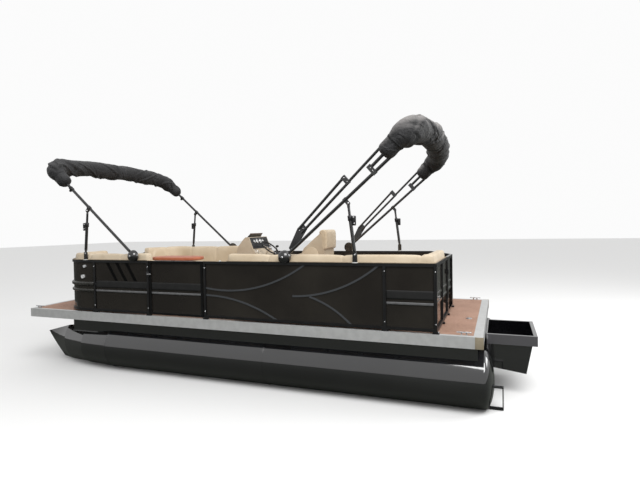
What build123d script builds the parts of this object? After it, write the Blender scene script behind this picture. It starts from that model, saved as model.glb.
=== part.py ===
"""Pontoon boat on two round tubes, with an open motor pod, a fenced deck, lounges, a helm and two
folded canopies. Millimetres, +X to the bow, +Y to port, +Z up, origin on the ground below the
middle of the boat."""

import os
from math import atan2, cos, degrees, hypot, radians, sin

from build123d import *

os.makedirs("parts", exist_ok=True)

# Hull and deck
deck_length = 6500          # aft edge of the deck to its bow corners
beam = 2550                 # over the deck edge trim
bow_arch = 100              # how far the bow edge bulges past its corners
deck_top = 845
trim_height = 123
trim_wall = 10
trim_flange = 60
trim_aft_flange = 95
floor_thickness = 4
board_thickness = 19
tube_diameter = 625
tube_offset = 930           # boat's centre to each tube's centre
tube_length = 5090          # cylindrical stretch, from the deck's aft edge
tube_end_depth = 100        # the domed aft end, beyond the deck's aft edge
nose_length = 1140
nose_tip_length = 330
nose_tip_height = 430
riser_width = 46
riser_offset = 190          # tube's centre to each of its risers
riser_wall = 5
riser_setback = 60
crossmember_pitch = 440
crossmember_width = 44
crossmember_height = 80
crossmember_wall = 4
crossmember_side_gap = 24

# Motor pod
pod_length = 560
pod_half_width = 450
pod_rim_top = 705
pod_rim_height = 115
pod_rim_lip = 30
pod_rim_wall = 12
pod_transom_rake = 90
pod_bottom = 258
pod_forward_reach = 1150
pod_forward_bottom = 470
pod_wall = 8
pod_well_floor = 70         # inside the well, above the pod's bottom
pod_well_rise = 40          # the well's floor, from its aft end to its forward end
pod_well_rake = 72
pod_gap = 12                # pod's rim to the deck's aft trim
pod_neck = 40               # where the pod rises to the cross-members, inside the trim

# Fence, in a post's own width
post = 32
fence_inset = 27            # deck edge to the middle of the fence
fence_top = 1588
foot_height = 22
rail = 32
bow_fence_station = 5888
bow_corner_radius = 430
aft_fence_station = 470
panel_thickness = 4
band_proud = 7
band_height = 22
upper_band = 1251
lower_band = 1157
seam_station = 1017
side_gate_aft_station = 3350
side_gate_forward_station = 4260
bow_gate_half_width = 400
aft_gate_port_y = 150
aft_gate_starboard_y = -470
starboard_corner_station = 860
gate_gap = 11               # gate frame to each post
hinge_pin_radius = 5
hinge_clearance = 0.06
hinge_wall = 4
hinge_length = 60

foot_length = 70
corner_post_station = 5212
aft_fence_post_y = 700
starboard_middle_station = 2150
hinge_levels = (1010, 1430)
ear_height = 9
ear_gap = 1                 # an ear to its knuckle
light_rows = ((5393, 1499, 20), (5430, 1350, 27))   # station, level, radius
light_depth = 22
# raised bands on the long panels: station and level at the start, middle and end
band_arcs = (
    ((3345, 1251), (2470, 1312), (1955, 1566)),
    ((3345, 1157), (2842, 1096), (2330, 884)),
    ((2124, 1188), (1560, 1290), (1078, 1566)),
    ((1905, 1188), (1620, 1060), (1400, 884)),
)

# Stern brackets
bracket_reach = 190
bracket_width = 60
bracket_bottom = 6
bracket_top = 250
bracket_wall = 12

# Lounges
seat_top = 1290
seat_cushion = 110
seat_depth = 560
carcass_wall = 14
back_thickness = 130
back_top = 1682
soft_gap = 0.3              # a cushion at rest on what carries it
lounge_gap = 8              # a seat cushion to its backrest and its neighbour
base_setback = 22           # seat cushion's edge to the base below it
bow_lounge_aft_station = 4275
bow_lounge_end_y = 450
port_lounge_forward_station = 3040
port_lounge_lid_station = 1192
port_lounge_end_y = 170
port_base_aft_station = 700

# Table
table_station = 4750
table_length = 900
table_width = 460
table_top = 1560
table_thickness = 50
table_post_radius = 30
table_foot_radius = 110
table_foot_height = 12

# Helm
console_inner_y = -550
console_outer_y = -1190
console_profile = (         # station and level, from the foot of the front face round to the aft foot
    (3970, 845), (3974, 1576), (3957, 1680), (3857, 1802), (3805, 1850), (3742, 1850),
    (3664, 1647), (3593, 1577), (3505, 1480), (3445, 1300), (3445, 845),
)
screen_foot = (3880, 1765)   # inside the console's sloping front
screen_head = (3765, 1908)
screen_thickness = 5
screen_half_width = 270
screen_taper = 60            # each side, from foot to head
wheel_station = 3480
wheel_y = -820
wheel_level = 1662
wheel_radius = 165
wheel_rim_radius = 13
wheel_tilt = 50             # wheel's axis above the horizontal
wheel_hub_radius = 30
wheel_hub_height = 34
wheel_spoke = 26
wheel_shaft_radius = 9
wheel_shaft_length = 250
shaft_clearance = 0.06
seat_post_station = 2560
seat_post_y = -740
seat_post_radius = 38
seat_post_foot_radius = 165
seat_post_foot_height = 12
seat_plate_level = 1190
seat_spindle_radius = 16
seat_plate = 16
seat_shell_width = 460
seat_shell_wall = 55
seat_pad_height = 125
seat_back_pad = 100
seat_back_pad_top = 60
helm_shell_profile = (      # forward of the post and level, one side panel
    (330, 1206), (336, 1560), (204, 1590), (163, 1670), (-21, 1825), (-120, 1905), (-175, 1905),
    (-175, 1206),
)
helm_roll_profile = (       # the backrest's roll, behind and above the shell
    (-175.3, 1645), (-175.3, 1905.3), (-96, 1905.3), (-118, 1940), (-156, 1959), (-196, 1955),
    (-217, 1900), (-217, 1695), (-204, 1645),
)

# Canopies
front_pivot_station = 4493
front_brace_station = 5372
front_slope = 41.0
front_reach = 2000
front_crown = 95
front_boot_start = 1590
front_boot_radius = 132
rear_pivot_station = 2214
rear_brace_station = 1348
rear_slope = 43.0
rear_reach = 2030
rear_crown = 130
rear_boot_start = 1640
rear_boot_radius = 155
rear_leg_droop = 2.7        # main legs' angle below the rear canopy's own slope
# rear stays on each side: slant and rise of both ends, measured from the main leg
rear_stays = (
    ((350, 130), (1150, 201)),
    ((350, 72), (1150, 120)),
    ((1167, 126), (1700, 158)),
)
# plates that hold the stays together: slant, lowest and highest rise
rear_plates = (
    (1152, 108, 216),
    (1445, -22, 102),
)
# web between the stays' lower ends and the main leg: slant and rise of its corners
rear_web = ((110, -17), (110, 45), (350, 147), (440, 150), (440, 60), (300, 20), (260, -17))
web_thickness = 8
rear_bow_leg_start = 1430   # where the bow inside the boot comes out of it
stay_radius = 16
plate_width = 56
plate_lap = 3               # a plate's face beyond the stays
canopy_outset = 2           # canopy legs outboard of the fence's middle
canopy_tube_radius = 19
canopy_corner_radius = 240
canopy_crest_radius = 900
canopy_crest_half_width = 480
boot_grip = 60              # how far the legs run into a boot
pivot_level = 1650
pivot_pin_radius = 6
pivot_cheek_radius = 26
pivot_dome_radius = 82
pivot_cheek = 6
eye_radius = 20
eye_thickness = 8
eye_side_gap = 0.5
eye_neck = 100              # pivot to the start of the round tube
brace_neck = 46             # the same on a brace
eye_neck_width = 32
brace_foot_level = 1680
front_brace_reach = 1040     # pivot to the brace's clamp, along the leg
rear_brace_reach = 1000
brace_eye_drop = 54         # brace eye below the canopy leg's axis
brace_tube_radius = 20
brace_rod_radius = 15
brace_tube_length = 430
brace_rod_length = 440
brace_clearance = 0.06
brace_eye_side_gap = 6
clamp_length = 44
clamp_wall = 7
bracket_plate = 6

# Cleats
cleat_stern_setback = 190
cleat_bow_setback = 120
cleat_inset = 60
cleat_length = 150
cleat_height = 38

# Worked out from the sizes above
half_beam = beam / 2
overall_length = pod_length + deck_length + bow_arch
aft_edge = pod_length - overall_length / 2
bow_corner = aft_edge + deck_length
tube_radius = tube_diameter / 2
trim_bottom = deck_top - trim_height
board_top = deck_top - floor_thickness
board_bottom = board_top - board_thickness
fence_y = half_beam - fence_inset
canopy_half_width = fence_y + canopy_outset
fence_foot = deck_top + foot_height
seat_bottom = seat_top - seat_cushion


def at(station):
    """X of a station measured forward from the deck's aft edge."""
    return aft_edge + station


def block(x0, x1, y0, y1, z0, z1, mode=Mode.ADD):
    """A box between two corners, in the part being built."""
    with Locations(((x0 + x1) / 2, (y0 + y1) / 2, (z0 + z1) / 2)):
        Box(abs(x1 - x0), abs(y1 - y0), abs(z1 - z0), mode=mode)


def rod(start, end, radius):
    """A round bar from one point to another."""
    line = Vector(*end) - Vector(*start)
    with BuildPart(Plane(origin=start, z_dir=line)) as bar:
        Cylinder(radius, line.length, align=(Align.CENTER, Align.CENTER, Align.MIN))
    return bar.part


def deck_outline(level, side_inset, aft_inset):
    """The deck's outline at a level: square at the stern, a shallow arch at the bow."""
    y = half_beam - side_inset
    x_aft = aft_edge + aft_inset
    x_bow = bow_corner - side_inset
    with BuildSketch(Plane.XY.offset(level)) as outline:
        with BuildLine():
            Polyline((x_bow, -y), (x_aft, -y), (x_aft, y), (x_bow, y))
            ThreePointArc((x_bow, y), (x_bow + bow_arch, 0), (x_bow, -y))
        make_face()
    return outline.sketch


def wall_plan(points, radii, width, level):
    """Plan of a wall of one width that follows a route with rounded corners."""
    with BuildSketch(Plane.XY.offset(level)) as plan:
        with BuildLine():
            if radii:
                FilletPolyline(*points, radius=radii)
            else:
                Polyline(*points)
        trace(line_width=width)
    return plan.sketch


pieces = {}


def keep(name, piece):
    """Label a finished piece and list it for export."""
    piece.label = name
    pieces[name] = piece


# Tubes, each a cylinder that runs into a raked nose of lens-shaped sections
# columns: foot station, foot level, head station, head level, half width
nose_sections = (
    (tube_length, 0, tube_length, tube_diameter, tube_radius),
    (tube_length + 0.45 * nose_length, 4, tube_length + 0.45 * nose_length, 0.965 * tube_diameter, 252),
    (tube_length + 0.82 * nose_length, 22, tube_length + 0.9 * nose_length, 0.87 * tube_diameter, 132),
    (tube_length + nose_length, 55, tube_length + nose_length + nose_tip_length, nose_tip_height, 9),
)


def lens(foot_station, foot_level, head_station, head_level, half_width):
    """A section of the nose: two arcs from its foot to its head."""
    foot = Vector(at(foot_station), tube_offset, foot_level)
    head = Vector(at(head_station), tube_offset, head_level)
    height = (head - foot).length
    plane = Plane(origin=(foot + head) / 2, x_dir=(0, 1, 0), z_dir=Vector(0, 1, 0).cross(head - foot))
    with BuildSketch(plane) as section:
        with BuildLine():
            ThreePointArc((0, -height / 2), (half_width, 0), (0, height / 2))
            ThreePointArc((0, height / 2), (-half_width, 0), (0, -height / 2))
        make_face()
    return section.sketch


with BuildPart() as pontoon_port:
    with BuildSketch(Plane.YZ.offset(aft_edge)):
        with Locations((tube_offset, tube_radius)):
            Circle(tube_radius)
    extrude(amount=tube_length)
    with BuildSketch(Plane.XZ.offset(-tube_offset)):
        with Locations((aft_edge, tube_radius)):
            Ellipse(tube_end_depth, tube_radius)
            Rectangle(tube_end_depth, tube_diameter, align=(Align.MIN, Align.CENTER),
                      mode=Mode.SUBTRACT)
            Rectangle(2 * tube_end_depth, tube_radius, align=(Align.CENTER, Align.MAX),
                      mode=Mode.SUBTRACT)
    revolve(axis=Axis((aft_edge, tube_offset, tube_radius), (1, 0, 0)))
    for after, ahead in zip(nose_sections, nose_sections[1:]):
        loft([lens(*after), lens(*ahead)])

with BuildPart() as pontoon_starboard:
    add(pontoon_port.part.mirror(Plane.XZ))

keep("pontoon_port", pontoon_port.part)
keep("pontoon_starboard", pontoon_starboard.part)

# Risers, angle bars that stand on the tubes and carry the cross-members
riser_top = board_bottom - crossmember_height
riser_foot = tube_radius + (tube_radius**2 - (riser_offset + riser_width / 2) ** 2) ** 0.5
riser_aft = at(riser_setback)
riser_forward = at(tube_length + 0.62 * nose_length)

with BuildPart() as pontoon_risers:
    for side in (-1, 1):
        for outward in (-1, 1):
            y = side * tube_offset + outward * riser_offset
            block(riser_aft, riser_forward, y - riser_wall / 2, y + riser_wall / 2,
                  riser_foot - riser_width / 2, riser_top)
            block(riser_aft, riser_forward, y, y + outward * riser_width,
                  riser_top - riser_wall, riser_top)
            block(riser_aft, riser_forward, y, y + outward * riser_width / 2,
                  riser_foot - riser_width / 2, riser_foot - riser_width / 2 + riser_wall)
    add(pontoon_port.part, mode=Mode.SUBTRACT)
    add(pontoon_starboard.part, mode=Mode.SUBTRACT)

keep("pontoon_risers", pontoon_risers.part)

# Cross-members, channels under the deck board
crossmember_length = beam - 2 * (trim_wall + crossmember_side_gap)
crossmember_count = int((deck_length - 2 * riser_setback) // crossmember_pitch) + 1

with BuildPart() as cross_members:
    for number in range(crossmember_count):
        x = at(riser_setback + crossmember_width + number * crossmember_pitch)
        block(x - crossmember_width, x, -crossmember_length / 2, crossmember_length / 2,
              riser_top, board_bottom)
        block(x - crossmember_width + crossmember_wall, x,
              -crossmember_length / 2, crossmember_length / 2,
              riser_top + crossmember_wall, board_bottom - crossmember_wall, mode=Mode.SUBTRACT)

keep("cross_members", cross_members.part)

# Deck board, floor covering and edge trim
with BuildPart() as deck_board:
    extrude(deck_outline(board_bottom, trim_wall, trim_wall), amount=board_thickness)

with BuildPart() as deck_floor:
    extrude(deck_outline(board_top, trim_flange, trim_aft_flange), amount=floor_thickness)

with BuildPart() as deck_trim:
    extrude(deck_outline(trim_bottom, 0, 0), amount=trim_height)
    extrude(deck_outline(trim_bottom, trim_wall, trim_wall), amount=board_top - trim_bottom,
            mode=Mode.SUBTRACT)
    extrude(deck_outline(board_top, trim_flange, trim_aft_flange), amount=floor_thickness,
            mode=Mode.SUBTRACT)

keep("deck_board", deck_board.part)
keep("deck_floor", deck_floor.part)
keep("deck_trim", deck_trim.part)

# Motor pod: a raked open box between the tubes, with a folded rim
pod_aft = -overall_length / 2
pod_front = aft_edge - pod_gap
pod_inner = pod_half_width - pod_rim_lip

with BuildPart() as motor_pod:
    with BuildSketch(Plane.XZ.offset(-pod_inner)):
        with BuildLine():
            Polyline(
                (pod_aft + pod_rim_lip, pod_rim_top),
                (pod_aft + pod_rim_lip + pod_transom_rake, pod_bottom),
                (at(pod_forward_reach), pod_forward_bottom),
                (at(pod_forward_reach), riser_top),
                (at(pod_neck), riser_top),
                (at(pod_neck), pod_rim_top),
                close=True,
            )
        make_face()
    extrude(amount=2 * pod_inner)
    block(pod_aft, pod_front, -pod_half_width, pod_half_width,
          pod_rim_top - pod_rim_height, pod_rim_top)
    with BuildSketch(Plane.XZ.offset(-(pod_inner - pod_wall))):
        with BuildLine():
            Polyline(
                (pod_aft + pod_rim_lip + pod_rim_wall, pod_rim_top),
                (pod_aft + pod_rim_lip + pod_rim_wall + pod_well_rake, pod_bottom + pod_well_floor),
                (pod_front - pod_wall, pod_bottom + pod_well_floor + pod_well_rise),
                (pod_front - pod_wall, pod_rim_top),
                close=True,
            )
        make_face()
    extrude(amount=2 * (pod_inner - pod_wall), mode=Mode.SUBTRACT)

keep("motor_pod", motor_pod.part)

# Tube ends: an open bracket on each, where the boat is lifted and strapped
with BuildPart() as stern_brackets:
    for side in (-1, 1):
        y = side * tube_offset
        block(aft_edge - bracket_reach, aft_edge, y - bracket_width / 2, y + bracket_width / 2,
              bracket_bottom, bracket_top)
        block(aft_edge - bracket_reach + bracket_wall, aft_edge - bracket_wall,
              y - bracket_width / 2, y + bracket_width / 2,
              bracket_bottom + bracket_wall, bracket_top - bracket_wall, mode=Mode.SUBTRACT)
    add(pontoon_port.part, mode=Mode.SUBTRACT)
    add(pontoon_starboard.part, mode=Mode.SUBTRACT)

keep("stern_brackets", stern_brackets.part)

# Fence: rails that follow each stretch's route, posts, feet and panels with raised bands
bow_x = at(bow_fence_station)
stern_x = at(aft_fence_station)
bow_post_y = bow_gate_half_width + post / 2
fence_routes = {
    "port_forward": (
        ((bow_x, bow_post_y), (bow_x, fence_y), (at(side_gate_forward_station), fence_y)),
        [bow_corner_radius],
    ),
    "port_aft": (
        ((at(side_gate_aft_station), fence_y), (stern_x, fence_y), (stern_x, aft_gate_port_y)),
        [post],
    ),
    "starboard": (
        ((stern_x, aft_gate_starboard_y), (at(starboard_corner_station), -fence_y),
         (bow_x, -fence_y), (bow_x, -bow_post_y)),
        [post, bow_corner_radius],
    ),
}
# stretch of fence: where its posts stand
fence_posts = {
    "port_forward": (
        (bow_x, bow_post_y),
        (at(corner_post_station), fence_y),
        (at(side_gate_forward_station), fence_y),
    ),
    "port_aft": (
        (at(side_gate_aft_station), fence_y),
        (at(seam_station), fence_y),
        (stern_x, fence_y),
        (stern_x, aft_fence_post_y),
        (stern_x, aft_gate_port_y),
    ),
    "starboard": (
        (stern_x, aft_gate_starboard_y),
        (at(starboard_corner_station), -fence_y),
        (at(starboard_middle_station), -fence_y),
        (at(side_gate_aft_station), -fence_y),
        (at(side_gate_forward_station), -fence_y),
        (at(corner_post_station), -fence_y),
        (bow_x, -bow_post_y),
    ),
}


def fence_frame(stretch):
    """Top and bottom rails, posts and feet of one stretch of fence."""
    points, radii = fence_routes[stretch]
    with BuildPart() as frame:
        extrude(wall_plan(points, radii, rail, fence_top - rail), amount=rail)
        extrude(wall_plan(points, radii, rail, fence_foot), amount=rail)
        for x, y in fence_posts[stretch]:
            block(x - post / 2, x + post / 2, y - post / 2, y + post / 2, deck_top, fence_top)
            block(x - foot_length / 2, x + foot_length / 2, y - post / 2, y + post / 2,
                  deck_top, fence_foot)
    return frame.part


def sweep_bands(y):
    """The long panels' raised bands: two that rise to the top rail, two that fall to the deck."""
    with BuildPart() as bands:
        with BuildSketch(Plane.XZ.offset(-y)):
            for start, middle, end in band_arcs:
                with BuildLine() as arc:
                    ThreePointArc((at(start[0]), start[1]), (at(middle[0]), middle[1]),
                                  (at(end[0]), end[1]))
                trace(line_width=band_height)
        extrude(amount=panel_thickness / 2 + band_proud, both=True)
    return bands.part


def fence_panel(stretch, frame, band_spans):
    """Sheet panels inside one stretch's frame, with two raised bands along the named spans."""
    points, radii = fence_routes[stretch]
    with BuildPart() as panel:
        extrude(wall_plan(points, radii, panel_thickness, fence_foot + rail),
                amount=fence_top - fence_foot - 2 * rail)
        for level in (upper_band, lower_band):
            for span, span_radii in band_spans:
                extrude(wall_plan(span, span_radii, panel_thickness + 2 * band_proud,
                                  level - band_height / 2), amount=band_height)
        add(frame, mode=Mode.SUBTRACT)
    return panel


port_forward_frame = fence_frame("port_forward")
port_aft_frame = fence_frame("port_aft")
starboard_frame = fence_frame("starboard")
keep("fence_port_forward_frame", port_forward_frame)
keep("fence_port_aft_frame", port_aft_frame)
keep("fence_starboard_frame", starboard_frame)

with BuildPart() as port_forward_panel:
    add(fence_panel("port_forward", port_forward_frame, [fence_routes["port_forward"]]).part)

stern_span = (((at(seam_station), fence_y), (stern_x, fence_y), (stern_x, aft_gate_port_y)), [post])
with BuildPart() as port_aft_panel:
    add(fence_panel("port_aft", port_aft_frame, [stern_span]).part)
    add(sweep_bands(fence_y))
    add(port_aft_frame, mode=Mode.SUBTRACT)
    block(stern_x - post, stern_x + post, aft_gate_port_y, fence_y - post / 2,
          fence_foot + rail, lower_band - band_height / 2, mode=Mode.SUBTRACT)

starboard_bow_span = (
    ((at(side_gate_aft_station), -fence_y), (bow_x, -fence_y), (bow_x, -bow_post_y)),
    [bow_corner_radius],
)
starboard_stern_span = (
    ((stern_x, aft_gate_starboard_y), (at(starboard_corner_station), -fence_y),
     (at(seam_station), -fence_y)),
    [post],
)
with BuildPart() as starboard_panel:
    add(fence_panel("starboard", starboard_frame, [starboard_bow_span, starboard_stern_span]).part)
    add(sweep_bands(-fence_y))
    add(starboard_frame, mode=Mode.SUBTRACT)

keep("fence_port_forward_panel", port_forward_panel.part)
keep("fence_port_aft_panel", port_aft_panel.part)
keep("fence_starboard_panel", starboard_panel.part)

# Gates, each built lying along +X from its hinge, outboard face on the +Y side
# columns: hinge post face, direction from hinge to latch, clear width, lower panel or open
gate_table = {
    "side_gate": (
        (at(side_gate_aft_station) + post / 2, fence_y, 0), (1, 0, 0),
        side_gate_forward_station - side_gate_aft_station - post, True,
    ),
    "bow_gate": ((bow_x, -bow_gate_half_width, 0), (0, 1, 0), 2 * bow_gate_half_width, True),
    "aft_gate": (
        (stern_x, aft_gate_starboard_y + post / 2, 0), (0, 1, 0),
        aft_gate_port_y - aft_gate_starboard_y - post, False,
    ),
}
hinge_outset = post / 2 + hinge_pin_radius + hinge_wall + 1
gate_bottom = fence_foot
knuckle_radius = hinge_pin_radius + hinge_wall


def gate(post_face, direction, clear_width, has_lower_panel):
    """A gate leaf: square frame, panel, two bands and the knuckles of its hinge."""
    with BuildPart(Plane(origin=post_face, x_dir=direction, z_dir=(0, 0, 1))) as leaf:
        far = clear_width - gate_gap
        block(gate_gap, far, -post / 2, post / 2, gate_bottom, fence_top)
        block(gate_gap + rail, far - rail, -post / 2, post / 2,
              gate_bottom + rail, fence_top - rail, mode=Mode.SUBTRACT)
        panel_bottom = gate_bottom + rail if has_lower_panel else lower_band
        block(gate_gap + rail, far - rail, -panel_thickness / 2, panel_thickness / 2,
              panel_bottom, fence_top - rail)
        for level in (upper_band, lower_band):
            proud = panel_thickness / 2 + band_proud
            block(gate_gap + rail, far - rail, -proud, proud,
                  level - band_height / 2, level + band_height / 2)
        for level in hinge_levels:
            block(gate_gap / 2, gate_gap + rail, -hinge_outset - hinge_wall, -post / 2,
                  level - hinge_length / 2, level + hinge_length / 2)
            with Locations((gate_gap / 2, -hinge_outset, level)):
                Cylinder(knuckle_radius, hinge_length)
                Cylinder(hinge_pin_radius + hinge_clearance, hinge_length, mode=Mode.SUBTRACT)
    return leaf.part


def hinge(post_face, direction):
    """The post's half of a gate hinge: two pins held by an ear above and below each knuckle."""
    with BuildPart(Plane(origin=post_face, x_dir=direction, z_dir=(0, 0, 1))) as pins:
        for level in hinge_levels:
            with Locations((gate_gap / 2, -hinge_outset, level)):
                Cylinder(hinge_pin_radius, hinge_length + 2 * (ear_height + ear_gap))
            for end in (-1, 1):
                middle = level + end * (hinge_length / 2 + ear_gap + ear_height / 2)
                block(-post / 2, gate_gap / 2 + hinge_pin_radius, -hinge_outset - hinge_wall,
                      -post / 2, middle - ear_height / 2, middle + ear_height / 2)
    return pins.part


for name, (post_face, direction, clear_width, has_lower_panel) in gate_table.items():
    keep(name, gate(post_face, direction, clear_width, has_lower_panel))

with BuildPart() as gate_hinges:
    for post_face, direction, clear_width, has_lower_panel in gate_table.values():
        add(hinge(post_face, direction))

keep("gate_hinges", gate_hinges.part)

# Docking lights, two round lamps at each bow corner, facing outboard
lamp_seat = fence_y + panel_thickness / 2
with BuildPart() as docking_lights:
    for side in (-1, 1):
        for station, level, radius in light_rows:
            add(rod((at(station), side * lamp_seat, level),
                    (at(station), side * (lamp_seat + light_depth), level), radius))

keep("docking_lights", docking_lights.part)


# Lounges: hollow bases, seat cushions (the long ones lift), fixed corner seats and backrests
back_inner = post / 2 + soft_gap + back_thickness      # fence's middle to a backrest's face
back_middle = back_inner - back_thickness / 2
seat_back_y = fence_y - back_inner - lounge_gap
seat_front_y = seat_back_y - seat_depth
bow_seat_x = bow_x - back_inner - lounge_gap
bow_inner_radius = bow_corner_radius - back_inner - lounge_gap
bow_lid_x = bow_seat_x - bow_inner_radius - 3 * lounge_gap
bow_lounge_aft = at(bow_lounge_aft_station)
stern_seat_x = stern_x + back_inner + lounge_gap
port_lid_x = at(port_lounge_lid_station)
port_lounge_forward = at(port_lounge_forward_station)
base_front_y = seat_front_y + base_setback
base_back_y = seat_back_y - base_setback
base_top = seat_bottom - soft_gap


def hollow_base(x0, x1, y0, y1, dividers):
    """An open-topped box from the deck to a seat cushion, with cross walls at the dividers."""
    block(x0, x1, y0, y1, deck_top, base_top)
    block(x0 + carcass_wall, x1 - carcass_wall, y0 + carcass_wall, y1 - carcass_wall,
          deck_top + carcass_wall, base_top, mode=Mode.SUBTRACT)
    for x in dividers:
        block(x - carcass_wall, x + carcass_wall, y0, y1, deck_top, base_top)


with BuildPart() as bow_lounge_bases:
    hollow_base(bow_lounge_aft + base_setback, bow_seat_x - bow_inner_radius / 3,
                base_front_y, base_back_y, [bow_lid_x + lounge_gap / 2])
    mirror(about=Plane.XZ)

with BuildPart() as bow_lid_port:
    block(bow_lounge_aft, bow_lid_x, seat_front_y, seat_back_y, seat_bottom, seat_top)

with BuildPart() as bow_lid_starboard:
    add(bow_lid_port.part.mirror(Plane.XZ))

with BuildPart() as bow_corner_seats:
    block(bow_lid_x + lounge_gap, bow_seat_x, seat_front_y, seat_back_y, seat_bottom - soft_gap,
          seat_top)
    outer_corner = bow_corner_seats.edges().filter_by(Axis.Z).group_by(Axis.X)[-1].sort_by(Axis.Y)[-1]
    fillet(outer_corner, radius=bow_inner_radius)
    mirror(about=Plane.XZ)

bow_back_radius = bow_corner_radius - back_middle
with BuildPart() as bow_backrests:
    extrude(
        wall_plan(
            ((bow_x - back_middle, bow_lounge_end_y), (bow_x - back_middle, fence_y - back_middle),
             (bow_lounge_aft, fence_y - back_middle)),
            [bow_back_radius], back_thickness, seat_bottom,
        ),
        amount=back_top - seat_bottom,
    )
    mirror(about=Plane.XZ)

with BuildPart() as port_lounge_base:
    hollow_base(at(port_base_aft_station), port_lounge_forward - base_setback,
                base_front_y, base_back_y, [port_lid_x - lounge_gap / 2])
    hollow_base(at(port_base_aft_station), stern_seat_x + seat_depth - base_setback,
                port_lounge_end_y + base_setback, base_front_y, [])

with BuildPart() as port_lounge_lid:
    block(port_lid_x, port_lounge_forward, seat_front_y, seat_back_y, seat_bottom, seat_top)

with BuildPart() as port_corner_seat:
    block(stern_seat_x, port_lid_x - lounge_gap, seat_front_y, seat_back_y,
          seat_bottom - soft_gap, seat_top)
    block(stern_seat_x, stern_seat_x + seat_depth, port_lounge_end_y, seat_front_y,
          seat_bottom - soft_gap, seat_top)

with BuildPart() as port_backrest:
    extrude(
        wall_plan(
            ((port_lounge_forward, fence_y - back_middle), (stern_x + back_middle, fence_y - back_middle),
             (stern_x + back_middle, port_lounge_end_y)),
            [back_thickness / 2 + lounge_gap], back_thickness, seat_bottom,
        ),
        amount=back_top - seat_bottom,
    )

keep("bow_lounge_bases", bow_lounge_bases.part)
keep("bow_lid_port", bow_lid_port.part)
keep("bow_lid_starboard", bow_lid_starboard.part)
keep("bow_corner_seats", bow_corner_seats.part)
keep("bow_backrests", bow_backrests.part)
keep("port_lounge_base", port_lounge_base.part)
keep("port_lounge_lid", port_lounge_lid.part)
keep("port_corner_seat", port_corner_seat.part)
keep("port_backrest", port_backrest.part)

# Table on its post
with BuildPart() as table:
    with BuildSketch(Plane.XY.offset(table_top - table_thickness)):
        with Locations((at(table_station), 0)):
            SlotOverall(table_length, table_width)
    extrude(amount=table_thickness)
    with Locations((at(table_station), 0, deck_top)):
        Cylinder(table_post_radius, table_top - table_thickness - deck_top,
                 align=(Align.CENTER, Align.CENTER, Align.MIN))
        Cylinder(table_foot_radius, table_foot_height,
                 align=(Align.CENTER, Align.CENTER, Align.MIN))

keep("table", table.part)

# Helm: console, windscreen, wheel on its shaft, seat on its post
wheel_hub = Vector(at(wheel_station), wheel_y, wheel_level)
wheel_axis = Vector(-cos(radians(wheel_tilt)), 0, sin(radians(wheel_tilt)))

with BuildPart() as helm_console:
    with BuildSketch(Plane.XZ.offset(-console_inner_y)):
        with BuildLine():
            Polyline(*[(at(station), level) for station, level in console_profile], close=True)
        make_face()
    extrude(amount=console_inner_y - console_outer_y)
    add(rod(wheel_hub - wheel_axis * wheel_shaft_length, wheel_hub + wheel_axis * 0.6 * wheel_hub_height,
            wheel_shaft_radius))

with BuildPart() as windscreen:
    middle_y = (console_inner_y + console_outer_y) / 2
    foot = Vector(at(screen_foot[0]), middle_y, screen_foot[1])
    head = Vector(at(screen_head[0]), middle_y, screen_head[1])
    with BuildSketch(Plane(origin=foot, x_dir=(0, 1, 0), z_dir=Vector(0, 1, 0).cross(head - foot))):
        with BuildLine():
            Polyline((-screen_half_width, 0), (screen_half_width, 0),
                     (screen_half_width - screen_taper, (head - foot).length),
                     (screen_taper - screen_half_width, (head - foot).length), close=True)
        make_face()
    extrude(amount=screen_thickness)
    add(helm_console.part, mode=Mode.SUBTRACT)

with BuildPart(Plane(origin=wheel_hub, x_dir=(0, 1, 0), z_dir=wheel_axis)) as steering_wheel:
    Torus(wheel_radius - wheel_rim_radius, wheel_rim_radius)
    with PolarLocations(0, 3, start_angle=90):
        with Locations(((wheel_radius - wheel_rim_radius) / 2, 0, 0)):
            Box(wheel_radius - wheel_rim_radius, wheel_spoke, wheel_rim_radius * 0.8)
    Cylinder(wheel_hub_radius, wheel_hub_height)
    Cylinder(wheel_shaft_radius + shaft_clearance, 2 * wheel_hub_height, mode=Mode.SUBTRACT)

with BuildPart() as helm_seat_post:
    with Locations((at(seat_post_station), seat_post_y, deck_top)):
        Cylinder(seat_post_radius, seat_plate_level - soft_gap - deck_top,
                 align=(Align.CENTER, Align.CENTER, Align.MIN))
        Cylinder(seat_spindle_radius, seat_plate_level + seat_plate - deck_top,
                 align=(Align.CENTER, Align.CENTER, Align.MIN))
        Cylinder(seat_post_foot_radius, seat_post_foot_height,
                 align=(Align.CENTER, Align.CENTER, Align.MIN))

seat_x = at(seat_post_station)
shell_half = seat_shell_width / 2
shell_front = helm_shell_profile[0][0]
shell_back = helm_shell_profile[-1][0]
shell_top = helm_shell_profile[-2][1]
seat_pad_bottom = seat_plate_level + seat_plate + soft_gap
pad_half = shell_half - seat_shell_wall - soft_gap

with BuildPart() as helm_seat_shell:
    for side in (-1, 1):
        y = seat_post_y + side * (shell_half - seat_shell_wall / 2)
        with BuildSketch(Plane.XZ.offset(-y)):
            with BuildLine():
                Polyline(*[(seat_x + x, z) for x, z in helm_shell_profile], close=True)
            make_face()
        extrude(amount=seat_shell_wall / 2, both=True)
    block(seat_x + shell_back, seat_x + shell_front, seat_post_y - shell_half, seat_post_y + shell_half,
          seat_plate_level, seat_plate_level + seat_plate)
    block(seat_x + shell_back, seat_x + shell_back + seat_plate, seat_post_y - shell_half,
          seat_post_y + shell_half, seat_plate_level, shell_top)
    with Locations((seat_x, seat_post_y, seat_plate_level)):
        Cylinder(seat_spindle_radius + shaft_clearance, 3 * seat_plate, mode=Mode.SUBTRACT)

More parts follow.
